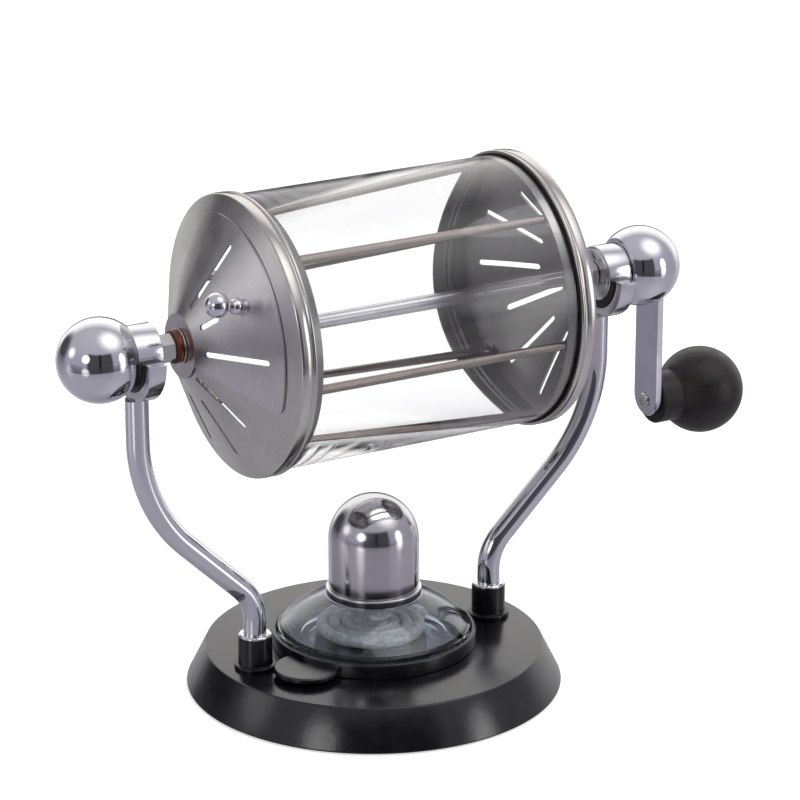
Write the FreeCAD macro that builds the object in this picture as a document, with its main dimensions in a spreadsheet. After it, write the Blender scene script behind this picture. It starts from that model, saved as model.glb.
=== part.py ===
import FreeCAD, Part
import os
import re
import Sketcher

# Stovetop coffee bean roaster: a glass drum with conical steel ends, turned by a crank over a
# spirit lamp.  Millimetres.  The origin is the centre of the base's underside, +Z is up, +X runs
# along the drum's axle to the crank, and -Y is the side that faces the user.

doc = FreeCAD.newDocument("coffee_bean_roaster")

# --- Driving dimensions ---

SIZES = {
    # base
    "base_radius": (75.0, "foot of the base"),
    "base_lean_in": (7.9, "how far the top's edge stands in from the foot"),
    "base_height": (16.2, "top of the base above the table"),
    "base_wall": (3.0, "wall of the hollow base casting"),
    "base_edge_round": (0.8, "round of the base's top edge"),
    "foot_rim": (3.5, "width of the rim that stands round the pad"),
    "pad_thickness": (2.0, "non-slip pad under the base"),
    "pad_proud": (0.3, "how far the pad stands below the rim"),
    # posts and their sockets
    "foot_inset": (13.8, "post's middle in from the edge of the base's top"),
    "post_radius": (4.5, "round bar of the posts"),
    "bend_start": (19.8, "straight foot of a post above the base"),
    "low_bend": (20.0, "radius of the lower bend"),
    "high_bend": (64.0, "radius of the upper bend"),
    "post_lean": (46.0, "lean of the middle stretch from upright, degrees"),
    "stud_radius": (3.0, "threaded stud under each post"),
    "stud_reach": (1.5, "stud beyond its nut"),
    "stud_hole_gap": (0.2, "radial room round a stud in the base"),
    "socket_radius": (6.75, "socket round a post's foot"),
    "socket_height": (14.3, "height of a socket"),
    "socket_chamfer": (1.0, "bright bevel round the socket's mouth"),
    "collar_radius": (8.4, "foot collar of a socket"),
    "collar_height": (1.8, "height of the foot collar"),
    "socket_gap": (0.1, "radial room between post and socket"),
    "post_washer_radius": (7.0, "washer under the base top"),
    "post_washer_thickness": (1.2, "thickness of that washer"),
    "post_nut_flats": (10.0, "across flats of the nut on a post's stud"),
    "post_nut_height": (4.8, "height of that nut"),
    "thread_gap": (0.05, "radial room that stands for a thread"),
    # yokes
    "axis_height": (153.0, "drum axle above the table"),
    "yoke_radius": (18.0, "outside of a yoke's half ring"),
    "yoke_bore": (14.0, "inside of a yoke's half ring"),
    "yoke_width": (7.0, "length of a yoke along the axle"),
    "liner_width": (8.0, "length of the black liner along the axle"),
    "liner_gap": (0.1, "radial room between sleeve and liner"),
    "yoke_lag": (0.75, "sleeve centre beyond its yoke's, towards the crank"),
    "left_post_set": (0.7, "left yoke's centre beyond its post, towards the crank"),
    "right_post_set": (2.8, "right yoke's centre beyond its post, towards the crank"),
    # drum
    "drum_offset": (3.3, "drum centre beside the base centre, towards the crank"),
    "drum_half_length": (64.0, "drum centre to the outer face of a rim"),
    "glass_radius": (53.1, "outside of the glass cylinder"),
    "glass_wall": (2.0, "wall of the glass cylinder"),
    "gasket_wall": (0.65, "gasket between glass and rim ring"),
    "gasket_end": (0.6, "gasket between the glass's end and the rim ring"),
    "gasket_lip": (0.4, "gasket showing beyond the rim ring"),
    "gasket_gap": (0.05, "radial room between glass and gasket"),
    "rim_wall": (1.0, "wall of a rim ring"),
    "rim_face": (0.9, "end face of a rim ring"),
    "rim_width": (6.4, "width of a rim ring along the axle"),
    "rim_round": (0.5, "round of a rim ring's outer corner, where the cone's edge meets it"),
    "rim_groove": (0.55, "radius of the groove rolled round a rim ring"),
    "groove_place": (1.8, "that groove's middle from the ring's inner edge"),
    "cone_depth": (21.67, "depth of a conical end, rim to hub"),
    "cap_lap": (0.4, "gasket's inner edge beyond the glass's inside"),
    "cap_wall": (0.9, "sheet of a cone, measured along the axle"),
    "hub_radius": (12.5, "flat hub of a cone"),
    "skirt_length": (10.8, "skirt of an end cap inside the glass"),
    "skirt_gap": (0.5, "radial room between skirt and glass"),
    "skirt_wall": (0.9, "wall of the skirt"),
    "rod_radius": (1.75, "stirring rods"),
    "rod_angle": (-11.0, "first rod, from the front towards the top, degrees"),
    "rod_count": (6, "number of stirring rods"),
    "slot_inner": (13.8, "inner end of the vent slots near the hub"),
    "slot_outer": (37.4, "outer end of those slots"),
    "slot_step": (7.8, "how much further out the other slots lie"),
    "slot_width": (2.2, "width of the vent slots"),
    "slot_count": (13, "slots that a whole cone has room for"),
    "left_slot_angle": (-47.0, "first slot of the left cone, near the hub, degrees"),
    "left_slot_threes": (2, "threes of slots of the left cone beside the bean opening"),
    "right_slot_angle": (294.9, "first slot of the right cone, near the hub, degrees"),
    "right_slot_threes": (4, "threes of slots of the right cone, one slot being left over"),
    # axle and what is threaded on it
    "axle_radius": (3.0, "axle"),
    "axle_fit": (0.05, "radial room of the sleeves on the axle"),
    "hub_nut_flats": (12.0, "across flats of the nut inside a cone"),
    "hub_nut_height": (3.6, "hexagon of that nut"),
    "hub_nut_flange": (7.6, "radius of that nut's flange"),
    "hub_flange_height": (1.5, "height of that flange"),
    "hub_washer_radius": (7.0, "outer hub washer"),
    "hub_washer": (0.6, "thickness of the hub washer's flange"),
    "washer_radius": (6.3, "copper and fibre washers"),
    "copper_washer": (1.4, "thickness of a copper washer"),
    "fibre_washer": (1.2, "thickness of a fibre washer"),
    "lock_nut_flats": (10.0, "across flats of a lock nut"),
    "lock_nut_height": (7.33, "height of a lock nut"),
    "end_play": (0.35, "gap between lock nut and sleeve"),
    "sleeve_radius": (11.0, "bearing sleeve"),
    "sleeve_length": (11.4, "length of a bearing sleeve"),
    "sleeve_chamfer": (0.8, "bevel of a sleeve's edges"),
    "ball_gap": (0.25, "gap between sleeve and ball"),
    "ball_radius": (16.25, "chrome balls"),
    "ball_seat": (10.4, "centre of a ball to its flat"),
    "ball_stud_radius": (2.5, "axle's thread inside a ball"),
    "ball_stud_reach": (7.5, "length of that thread inside a ball"),
    "bore_end_gap": (0.3, "room past the end of a thread"),
    # crank
    "arm_set": (4.3, "crank ball's centre to the arm's inner face"),
    "arm_thickness": (2.6, "flat bar of the crank arm"),
    "arm_width": (16.6, "width of the crank arm"),
    "arm_root": (0.9, "top of the arm above the axle's line, inside the ball"),
    "arm_fit": (0.1, "room round the arm in the ball's slot"),
    "throw": (57.9, "axle to the knob's spindle"),
    "arm_tail": (6.7, "spindle to the arm's rounded end"),
    "spindle_radius": (2.5, "spindle inside the knob"),
    "spindle_neck": (2.1, "spindle where it passes the arm"),
    "rivet_radius": (2.9, "riveted end of the spindle"),
    "rivet_height": (1.2, "height of that riveted end"),
    "spindle_head_radius": (4.3, "head of the spindle"),
    "spindle_head": (2.4, "height of the spindle's head"),
    "head_gap": (0.3, "radial room round the spindle's head"),
    "knob_fit": (0.05, "radial room of the knob on its spindle"),
    "knob_gap": (0.3, "gap between arm and knob"),
    "knob_radius": (17.8, "ball of the crank knob"),
    "knob_neck": (10.3, "collar of the crank knob"),
    "knob_reach": (24.1, "knob's inner end to its ball's centre"),
    "knob_sink": (13.6, "knob's ball centre to the floor of the head's recess"),
    "knob_round": (0.6, "round of the collar's edge"),
    # bean door
    "door_gap": (0.3, "room between the door and what it slides on"),
    "door_sheet": (0.8, "sheet of the door, measured along the axle"),
    "door_radius": (48.3, "outer edge of the door"),
    "door_angle": (37.8, "middle of the door, from the front towards the top, degrees"),
    "door_span": (119.0, "angle that the door covers, degrees"),
    "door_corner": (3.0, "round of the door's corners"),
    "door_slot_spread": (34.4, "long slots of the door from its middle, degrees"),
    "door_slot_inner": (16.5, "inner end of the door's slots"),
    "door_slot_outer": (42.5, "outer end of the door's long slots"),
    "short_slot_outer": (25.0, "outer end of the door's short slot"),
    "opening_span": (104.0, "angle of the bean opening under the door, degrees"),
    "opening_inner": (14.5, "inner edge of the bean opening"),
    "opening_outer": (44.5, "outer edge of the bean opening"),
    "bush_radius": (5.0, "neck of the bush that the door turns on"),
    "bush_fit": (0.06, "radial room of the door on its bush"),
    "knob_place": (34.5, "door knob from the axle's line"),
    "bead_radius": (3.2, "bead at the door knob's foot"),
    "bead_height": (2.0, "middle of that bead above the door"),
    "knob_stem": (1.7, "stem of the door knob"),
    "ball_height": (13.1, "middle of the door knob's ball above the door"),
    "knob_ball": (4.8, "ball of the door knob"),
    # spirit lamp
    "lamp_gap": (0.1, "room between base and lamp tray"),
    "tray_radius": (40.6, "outside of the lamp tray"),
    "tray_wall": (1.7, "wall of the lamp tray"),
    "tray_height": (6.0, "height of the lamp tray"),
    "tray_floor": (1.5, "floor of the lamp tray"),
    "tab_reach": (44.0, "lamp centre to the middle of the finger tab"),
    "tab_angle": (204.0, "direction of the finger tab, from +X towards +Y, degrees"),
    "tab_radius": (13.0, "finger tab"),
    "tab_thickness": (2.4, "thickness of the finger tab"),
    "tab_lift": (1.4, "finger tab above the tray's underside"),
    "font_radius": (38.3, "widest place of the glass font"),
    "font_foot": (33.0, "flat foot of the font"),
    "font_belly": (6.0, "widest place above the font's foot"),
    "font_shoulder": (60.0, "radius of the font's shoulder curve"),
    "font_wall": (2.2, "glass of the font"),
    "font_floor": (2.0, "glass under the spirit"),
    "neck_radius": (19.0, "neck of the font"),
    "neck_start": (19.2, "neck above the font's foot"),
    "neck_height": (1.9, "height of the neck"),
    "burner_flange": (1.0, "flange of the burner collar on the neck"),
    "burner_radius": (16.3, "collar that centres the snuffer cap"),
    "burner_height": (3.0, "height of that collar"),
    "burner_fit": (0.3, "radial room in the neck and in the cap"),
    "burner_drop": (3.0, "burner's spigot inside the neck"),
    "wick_tube": (4.4, "wick tube"),
    "wick_tube_height": (7.0, "wick tube above the burner collar"),
    "wick_radius": (3.6, "wick"),
    "wick_tip": (2.5, "wick above its tube"),
    "wick_clear": (0.3, "wick's coil above the font's floor"),
    "coil_radius": (25.0, "wick's coil on the font's floor"),
    "coil_height": (5.0, "height of that coil"),
    "cap_gap": (0.1, "room between burner flange and snuffer cap"),
    "snuffer_radius": (17.9, "outside of the snuffer cap"),
    "snuffer_wall": (1.0, "sheet of the snuffer cap"),
    "snuffer_side": (19.9, "straight side of the snuffer cap"),
    "fold": (0.2, "smallest bevel or gap in the outlines"),
}

sheet = doc.addObject("Spreadsheet::Sheet", "Sizes")
for row, (alias, (size, meaning)) in enumerate(SIZES.items(), start=1):
    sheet.set(f"A{row}", meaning)
    sheet.set(f"B{row}", str(size))
    sheet.setAlias(f"B{row}", alias)
doc.recompute()

# --- Lengths that follow from the driving dimensions ---
# Distances along the axle are counted outwards from the middle of the drum, on either side.

HUB = "(drum_half_length + cone_depth)"
WASHERS = f"({HUB} + 2 * door_gap + door_sheet)"
COPPER = f"({WASHERS} + hub_washer)"
FIBRE = f"({COPPER} + copper_washer)"
LOCK_NUT = f"({FIBRE} + fibre_washer)"
SLEEVE = f"({LOCK_NUT} + lock_nut_height + end_play)"
BALL_FLAT = f"({SLEEVE} + sleeve_length + ball_gap)"
BALL_CENTRE = f"({BALL_FLAT} + ball_seat)"
STUD_END = f"({BALL_FLAT} + ball_stud_reach)"
ARM_INNER = f"({BALL_CENTRE} + arm_set)"
ARM_OUTER = f"({ARM_INNER} + arm_thickness)"
KNOB_START = f"({ARM_OUTER} + knob_gap)"
KNOB_CENTRE = f"({KNOB_START} + knob_reach)"
RECESS = f"({KNOB_CENTRE} + knob_sink)"
SLEEVE_MIDDLE = f"({SLEEVE} + sleeve_length / 2)"

GLASS_INNER = "(glass_radius - glass_wall)"
GLASS_END = "(drum_half_length - rim_face - gasket_end)"
RIM_INNER = "(glass_radius + gasket_gap + gasket_wall)"
RIM_RADIUS = f"({RIM_INNER} + rim_wall)"
CONE_RADIUS = f"({RIM_RADIUS} - rim_round)"
GASKET_INNER = f"({GLASS_INNER} + cap_lap)"
SLOPE = f"(cone_depth / ({CONE_RADIUS} - hub_radius))"
CONE_TILT = f"atan({SLOPE})"
SKIRT_OUTER = f"({GLASS_INNER} - skirt_gap)"
SKIRT_INNER = f"({SKIRT_OUTER} - skirt_wall)"
AXLE_HOLE = "(axle_radius + thread_gap)"
ROD_END = f"(drum_half_length + {SLOPE} * ({CONE_RADIUS} - {SKIRT_INNER}) - cap_wall)"
ROD_CIRCLE = f"({SKIRT_INNER} - rod_radius)"

TOP_RADIUS = "(base_radius - base_lean_in)"
FOOT_SPREAD = f"({TOP_RADIUS} - foot_inset)"

YOKE_X = {
    "left": f"(drum_offset - {SLEEVE_MIDDLE} - yoke_lag)",
    "right": f"(drum_offset + {SLEEVE_MIDDLE} - yoke_lag)",
}
POST_TOP_X = {
    "left": f"({YOKE_X['left']} - left_post_set)",
    "right": f"({YOKE_X['right']} - right_post_set)",
}
SIDES = {"left": -1, "right": 1}

LAMP_Z = "(base_height + lamp_gap)"
FONT_Z = f"({LAMP_Z} + tray_floor)"
BURNER_Z = f"({FONT_Z} + neck_start + neck_height)"
SNUFFER_Z = f"({BURNER_Z} + burner_flange + cap_gap)"

# --- Helpers ---

pieces = []


def bound(formula):
    """The formula with each alias named the way the document's expressions name it."""
    return re.sub(r"[a-z_]+", lambda word: "Sizes." * (word[0] in SIZES) + word[0], str(formula))


def value(formula):
    """The number that a formula gives now."""
    return float(sheet.evalExpression(bound(formula)))


def bind(thing, **formulas):
    """Ties properties to formulas; a double underscore in a name stands for a dot."""
    for path, formula in formulas.items():
        thing.setExpression(path.replace("__", "."), bound(formula))


def place(piece, x="0", y="0", z="0"):
    """Ties a piece's position to formulas."""
    bind(piece, Placement__Base__x=x, Placement__Base__y=y, Placement__Base__z=z)


def new_body(label, x="0", z="0"):
    """An empty body that stands at (x, 0, z)."""
    body = doc.addObject("PartDesign::Body", label)
    body.Label = label
    place(body, x=x, z=z)
    pieces.append(body)
    return body


def drum_body(label):
    """An empty body whose X axis is the drum's axle, with its origin in the drum's middle."""
    return new_body(label, x="drum_offset", z="axis_height")


def origin_feature(body, role):
    """One of a body's own origin planes or axes."""
    return next(feature for feature in body.Origin.OriginFeatures if feature.Role == role)


def new_sketch(body, name, plane, lift="0"):
    """A sketch on one of the body's origin planes, lifted along the plane's normal."""
    sketch = body.newObject("Sketcher::SketchObject", f"{body.Name}_{name}")
    sketch.AttachmentSupport = [(origin_feature(body, plane), "")]
    sketch.MapMode = "FlatFace"
    bind(sketch, AttachmentOffset__Base__z=lift)
    return sketch


def fix_point(sketch, geometry, vertex, x, y):
    """Holds a point of the sketch at (x, y)."""
    for kind, formula in (("DistanceX", x), ("DistanceY", y)):
        number = value(formula)
        index = sketch.addConstraint(Sketcher.Constraint(kind, -1, 1, geometry, vertex, number))
        sketch.setExpression(f"Constraints[{index}]", bound(formula))


def arc_middle(start, end, radius, turn):
    """The middle point of the shorter arc from start to end; turn is ccw or cw."""
    chord = end - start
    sagitta = radius - max(radius**2 - chord.Length**2 / 4, 0) ** 0.5
    outward_side = FreeCAD.Vector(chord.y, -chord.x, 0).normalize()
    return (start + end) / 2 + outward_side * sagitta * (1 if turn == "ccw" else -1)


def outline(body, name, plane, corners, closed=True, lift="0"):
    """A sketch of lines and arcs through the corners.

    A corner is (x, y), or (x, y, turn, radius) where an arc arrives at it from the corner before.
    """
    sketch = new_sketch(body, name, plane, lift)
    points = [FreeCAD.Vector(value(corner[0]), value(corner[1]), 0) for corner in corners]
    last = len(corners) if closed else len(corners) - 1
    ends = []
    for index in range(last):
        following = (index + 1) % len(corners)
        start = points[index]
        end = points[following]
        if len(corners[following]) == 2:
            geometry = sketch.addGeometry(Part.LineSegment(start, end))
            ends.append((geometry, 1, 2))
            continue
        turn, radius = corners[following][2:]
        middle = arc_middle(start, end, value(radius), turn)
        geometry = sketch.addGeometry(Part.Arc(start, middle, end))
        ends.append((geometry, 1, 2) if turn == "ccw" else (geometry, 2, 1))
        index_radius = sketch.addConstraint(Sketcher.Constraint("Radius", geometry, value(radius)))
        sketch.setExpression(f"Constraints[{index_radius}]", bound(radius))
    for index, (geometry, start_vertex, end_vertex) in enumerate(ends):
        fix_point(sketch, geometry, start_vertex, *corners[index][:2])
        if closed or index + 1 < len(ends):
            after = ends[(index + 1) % len(ends)]
            joint = Sketcher.Constraint("Coincident", geometry, end_vertex, after[0], after[1])
            sketch.addConstraint(joint)
        else:
            fix_point(sketch, geometry, end_vertex, *corners[-1][:2])
    return sketch


def add_circle(sketch, x, y, radius):
    """A circle of the sketch about (x, y)."""
    centre = FreeCAD.Vector(value(x), value(y), 0)
    circle = Part.Circle(centre, FreeCAD.Vector(0, 0, 1), value(radius))
    geometry = sketch.addGeometry(circle)
    index = sketch.addConstraint(Sketcher.Constraint("Radius", geometry, value(radius)))
    sketch.setExpression(f"Constraints[{index}]", bound(radius))
    fix_point(sketch, geometry, 3, x, y)


def circles(body, name, plane, rounds, lift="0"):
    """A sketch of circles, each (x, y, radius)."""
    sketch = new_sketch(body, name, plane, lift)
    for x, y, radius in rounds:
        add_circle(sketch, x, y, radius)
    return sketch


def revolve(body, sketch, axis):
    """Turns a sketch all the way about one of the body's axes or about an edge of the sketch."""
    feature = body.newObject("PartDesign::Revolution", f"{sketch.Name}_turned")
    feature.Profile = sketch
    feature.ReferenceAxis = axis if isinstance(axis, tuple) else (origin_feature(body, axis), [""])


def pad(body, sketch, length, midplane=False):
    """Thickens a sketch along its normal."""
    feature = body.newObject("PartDesign::Pad", f"{sketch.Name}_pad")
    feature.Profile = sketch
    feature.Midplane = midplane
    bind(feature, Length=length)


def cut_through(body, sketch):
    """Cuts a sketch through the whole body, both ways, and checks that it took something away."""
    doc.recompute()
    before = body.Shape.Volume
    feature = body.newObject("PartDesign::Pocket", f"{sketch.Name}_cut")
    feature.Profile = sketch
    feature.Type = "ThroughAll"
    feature.SideType = "Symmetric"
    doc.recompute()
    if body.Shape.Volume >= before:
        raise ValueError(f"{sketch.Name} cuts nothing")
    return feature


def cut_round(body, sketch, axis):
    """Turns a sketch about an axis to cut it from the body, and checks that it took something."""
    doc.recompute()
    before = body.Shape.Volume
    feature = body.newObject("PartDesign::Groove", f"{sketch.Name}_groove")
    feature.Profile = sketch
    feature.ReferenceAxis = axis
    doc.recompute()
    if body.Shape.Volume >= before:
        raise ValueError(f"{sketch.Name} cuts nothing")


def repeat_round(body, feature, axis, spacing, count):
    """Repeats a feature round an axis of the body, spacing degrees apart."""
    pattern = body.newObject("PartDesign::PolarPattern", f"{feature.Name}_pattern")
    pattern.Originals = [feature]
    pattern.Axis = (origin_feature(body, axis), [""])
    pattern.Mode = "Spacing"
    bind(pattern, Offset=spacing, Occurrences=count)
    body.Tip = pattern


def outwards(side, corners):
    """The corners of an outline that runs outwards from the drum's middle on the given side."""
    if side == "right":
        return corners
    swapped = {"ccw": "cw", "cw": "ccw"}
    return [
        (f"-({corner[0]})", corner[1]) + tuple(swapped.get(item, item) for item in corner[2:])
        for corner in corners
    ]


def ring_section(start, end, inner, outer):
    """The four corners of a plain ring's section."""
    return [(start, inner), (start, outer), (end, outer), (end, inner)]


def turned_piece(label, side, corners):
    """A piece of the drum turned from one outline about the axle's line."""
    body = drum_body(label)
    sketch = outline(body, "section", "XZ_Plane", outwards(side, corners))
    revolve(body, sketch, "X_Axis")
    return body


def upright_piece(label, corners, x="0", z="0"):
    """A piece turned from one outline (radius, height) about its own upright axis."""
    body = new_body(label, x=x, z=z)
    revolve(body, outline(body, "section", "XZ_Plane", corners), "Z_Axis")
    return body


def hexagon(flats):
    """The corners of a hexagon with the given width across its flats."""
    half = f"({flats} / 2)"
    tip = f"({flats} / sqrt(3))"
    step = f"({flats} / sqrt(12))"
    return [
        (tip, "0"), (step, half), (f"-{step}", half),
        (f"-{tip}", "0"), (f"-{step}", f"-{half}"), (step, f"-{half}"),
    ]


def polar(radius, angle, aside="0"):
    """A place on a conical end: angle from the front (-Y) towards the top, aside across it."""
    return (
        f"(-({radius}) * cos({angle}) + ({aside}) * sin({angle}))",
        f"(({radius}) * sin({angle}) + ({aside}) * cos({angle}))",
    )


def radial_slot(angle, inner, outer):
    """The outline of a vent slot that runs outwards from the hub, with round ends."""
    half = "(slot_width / 2)"
    return [
        polar(f"{inner} + {half}", angle, f"-{half}") + ("cw", half),
        polar(f"{outer} - {half}", angle, f"-{half}"),
        polar(outer, angle) + ("cw", half),
        polar(f"{outer} - {half}", angle, half) + ("cw", half),
        polar(f"{inner} + {half}", angle, half),
        polar(inner, angle) + ("cw", half),
    ]


# --- Base ---

SIDE_SLOPE = "(base_lean_in / (base_height - pad_proud))"
INNER_TOP = f"({TOP_RADIUS} - base_wall)"
PAD_RADIUS = "(base_radius - foot_rim)"


def make_base():
    """The hollow base casting, open below, and the pad that closes it."""
    shell = new_body("base_shell")
    section = [
        ("0", "base_height - base_wall"),
        (INNER_TOP, "base_height - base_wall"),
        (f"{INNER_TOP} - base_wall / 2", "pad_thickness + base_wall"),
        (f"{INNER_TOP} - base_wall / 2", "pad_thickness"),
        (PAD_RADIUS, "pad_thickness"),
        (PAD_RADIUS, "pad_proud"),
        ("base_radius", "pad_proud"),
        (f"{TOP_RADIUS} + {SIDE_SLOPE} * base_edge_round", "base_height - base_edge_round"),
        (f"{TOP_RADIUS} - base_edge_round", "base_height", "ccw", "base_edge_round * 1.3"),
        ("0", "base_height"),
    ]
    revolve(shell, outline(shell, "section", "XZ_Plane", section), "Z_Axis")
    hole = "stud_radius + stud_hole_gap"
    holes = [(f"-{FOOT_SPREAD}", "0", hole), (FOOT_SPREAD, "0", hole)]
    cut_through(shell, circles(shell, "stud_holes", "XY_Plane", holes))
    upright_piece("base_pad", ring_section("0", f"{PAD_RADIUS} - fold", "0", "pad_thickness"))


# --- Posts ---

BENDS = "(low_bend + high_bend)"


def make_post(side):
    """A bent round bar with a threaded stud below, cut to the yoke's round above."""
    outward_sign = SIDES[side]
    reach = f"(({outward_sign}) * {POST_TOP_X[side]} - {FOOT_SPREAD})"
    straight = f"(({reach} - {BENDS} * (1 - cos(post_lean))) / sin(post_lean))"
    low_x = "low_bend * (1 - cos(post_lean))"
    low_z = "bend_start + low_bend * sin(post_lean)"
    top = "(axis_height - base_height - sqrt(yoke_radius^2 - post_radius^2))"
    path = [
        ("0", "0"),
        ("0", "bend_start"),
        (low_x, low_z, "cw", "low_bend"),
        (f"{low_x} + {straight} * sin(post_lean)", f"{low_z} + {straight} * cos(post_lean)"),
        (
            reach,
            f"bend_start + {BENDS} * sin(post_lean) + {straight} * cos(post_lean)",
            "ccw",
            "high_bend",
        ),
        (reach, top),
    ]
    post = new_body(f"post_{side}", x=f"({outward_sign}) * {FOOT_SPREAD}", z="base_height")
    post_path = outline(post, "path", "XZ_Plane", outwards(side, path), closed=False)
    bar = post.newObject("PartDesign::AdditivePipe", f"post_{side}_bar")
    bar.Profile = circles(post, "bar_section", "XY_Plane", [("0", "0", "post_radius")])
    bar.Spine = (post_path, [""])
    stud_end = "-(base_wall + post_washer_thickness + post_nut_height + stud_reach)"
    stud = outline(post, "stud", "XZ_Plane", ring_section("0", "stud_radius", stud_end, "0"))
    revolve(post, stud, "Z_Axis")
    yoke_round = [("0", "axis_height - base_height", "yoke_radius")]
    cut_through(post, circles(post, "yoke_seat", "YZ_Plane", yoke_round))


def make_socket(side):
    """The short sleeve with a foot collar that a post stands in."""
    bore = "post_radius + socket_gap"
    section = [
        (bore, "0"),
        ("collar_radius", "0"),
        ("collar_radius", "collar_height - fold"),
        ("collar_radius - fold", "collar_height"),
        ("socket_radius", "collar_height"),
        ("socket_radius", "socket_height - socket_chamfer"),
        ("socket_radius - socket_chamfer", "socket_height"),
        (bore, "socket_height"),
    ]
    upright_piece(f"socket_{side}", section, x=f"({SIDES[side]}) * {FOOT_SPREAD}", z="base_height")


def make_post_fixing(side):
    """The washer and the nut that hold a post from below, inside the base."""
    foot = f"({SIDES[side]}) * {FOOT_SPREAD}"
    under_top = "base_height - base_wall"
    hole = "stud_radius + thread_gap"
    washer = ring_section(hole, "post_washer_radius", "-post_washer_thickness", "0")
    upright_piece(f"post_washer_{side}", washer, x=foot, z=under_top)
    nut_z = f"{under_top} - post_washer_thickness - post_nut_height"
    nut = new_body(f"post_nut_{side}", x=foot, z=nut_z)
    pad(nut, outline(nut, "hexagon", "XY_Plane", hexagon("post_nut_flats")), "post_nut_height")
    cut_through(nut, circles(nut, "thread", "XY_Plane", [("0", "0", hole)]))


# --- Yokes and bearing sleeves ---


def make_half_ring(label, side, inner, outer, width):
    """A half ring under the axle's line, open to the top."""
    section = [
        (f"-({outer})", "0"),
        ("0", f"-({outer})", "ccw", outer),
        (outer, "0", "ccw", outer),
        (inner, "0"),
        ("0", f"-({inner})", "cw", inner),
        (f"-({inner})", "0", "cw", inner),
    ]
    body = new_body(label, x=YOKE_X[side], z="axis_height")
    pad(body, outline(body, "section", "YZ_Plane", section), width, midplane=True)


def make_sleeve(side):
    """The steel barrel that lies in a yoke; the axle turns in it."""
    end = f"({SLEEVE} + sleeve_length)"
    section = [
        (SLEEVE, "axle_radius + axle_fit"),
        (SLEEVE, "sleeve_radius - sleeve_chamfer"),
        (f"{SLEEVE} + sleeve_chamfer", "sleeve_radius"),
        (f"{end} - sleeve_chamfer", "sleeve_radius"),
        (end, "sleeve_radius - sleeve_chamfer"),
        (end, "axle_radius + axle_fit"),
    ]
    turned_piece(f"bearing_sleeve_{side}", side, section)


# --- Drum ---


def make_glass():
    """The open glass cylinder between the two rims."""
    section = ring_section(f"-{GLASS_END}", GLASS_END, GLASS_INNER, "glass_radius")
    turned_piece("glass_cylinder", "right", section)


def make_end_cap(side):
    """A conical end with a flat hub, its edge folded back into a skirt inside the glass."""
    step = "drum_half_length - rim_face"
    skirt_end = "drum_half_length - skirt_length"
    section = [
        (HUB, AXLE_HOLE),
        (HUB, "hub_radius"),
        ("drum_half_length", CONE_RADIUS),
        (step, CONE_RADIUS),
        (step, SKIRT_OUTER),
        (skirt_end, SKIRT_OUTER),
        (skirt_end, SKIRT_INNER),
        (ROD_END, SKIRT_INNER),
        (f"{HUB} - cap_wall", "hub_radius"),
        (f"{HUB} - cap_wall", AXLE_HOLE),
    ]
    return turned_piece(f"{side}_end_cap", side, section)


SLOT_PITCH = "(360 / slot_count)"


def cut_slots(cap, angle, threes):
    """Vent slots round a conical end, in threes: one near the hub and two further out."""
    for index, step in enumerate(("0", "slot_step", "slot_step")):
        ends = (f"(slot_inner + {step})", f"(slot_outer + {step})")
        corners = radial_slot(f"({angle} - {index} * {SLOT_PITCH})", *ends)
        slot = cut_through(cap, outline(cap, f"slot_{index + 1}", "YZ_Plane", corners))
        repeat_round(cap, slot, "X_Axis", f"3 * {SLOT_PITCH}", threes)


def cut_last_slot(cap, angle):
    """The slot that is left over between the last three and the first."""
    ends = ("(slot_inner + slot_step)", "(slot_outer + slot_step)")
    corners = radial_slot(f"({angle} + {SLOT_PITCH})", *ends)
    cut_through(cap, outline(cap, "last_slot", "YZ_Plane", corners))


def cut_bean_opening(cap):
    """The opening that the door covers: a sector between two radii."""
    low = "(door_angle - opening_span / 2)"
    high = "(door_angle + opening_span / 2)"
    sector = [
        polar("opening_inner", low) + ("ccw", "opening_inner"),
        polar("opening_outer", low),
        polar("opening_outer", high) + ("cw", "opening_outer"),
        polar("opening_inner", high),
    ]
    cut_through(cap, outline(cap, "bean_opening", "YZ_Plane", sector))


def make_rim_ring(side):
    """The rolled ring over a gasket and the glass's end, with a groove round its band."""
    inner_edge = "drum_half_length - rim_width"
    groove = f"({inner_edge} + groove_place)"
    section = [
        ("drum_half_length", CONE_RADIUS),
        ("drum_half_length - rim_round", RIM_RADIUS, "ccw", "rim_round"),
        (f"{groove} + rim_groove", RIM_RADIUS),
        (groove, f"{RIM_RADIUS} - rim_groove", "cw", "rim_groove"),
        (f"{groove} - rim_groove", RIM_RADIUS, "cw", "rim_groove"),
        (f"{inner_edge} + rim_wall / 2", RIM_RADIUS),
        (inner_edge, f"{RIM_RADIUS} - rim_wall / 2", "ccw", "rim_wall / 2"),
        (inner_edge, RIM_INNER),
        ("drum_half_length - rim_face", RIM_INNER),
        ("drum_half_length - rim_face", CONE_RADIUS),
    ]
    turned_piece(f"{side}_rim_ring", side, section)


def make_gasket(side):
    """The black ring over the glass's end and edge, a little of it showing past the rim."""
    lip = "drum_half_length - rim_width - gasket_lip"
    section = [
        ("drum_half_length - rim_face", GASKET_INNER),
        ("drum_half_length - rim_face", RIM_INNER),
        (lip, RIM_INNER),
        (lip, "glass_radius + gasket_gap"),
        (GLASS_END, "glass_radius + gasket_gap"),
        (GLASS_END, GASKET_INNER),
    ]
    turned_piece(f"{side}_gasket", side, section)


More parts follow.
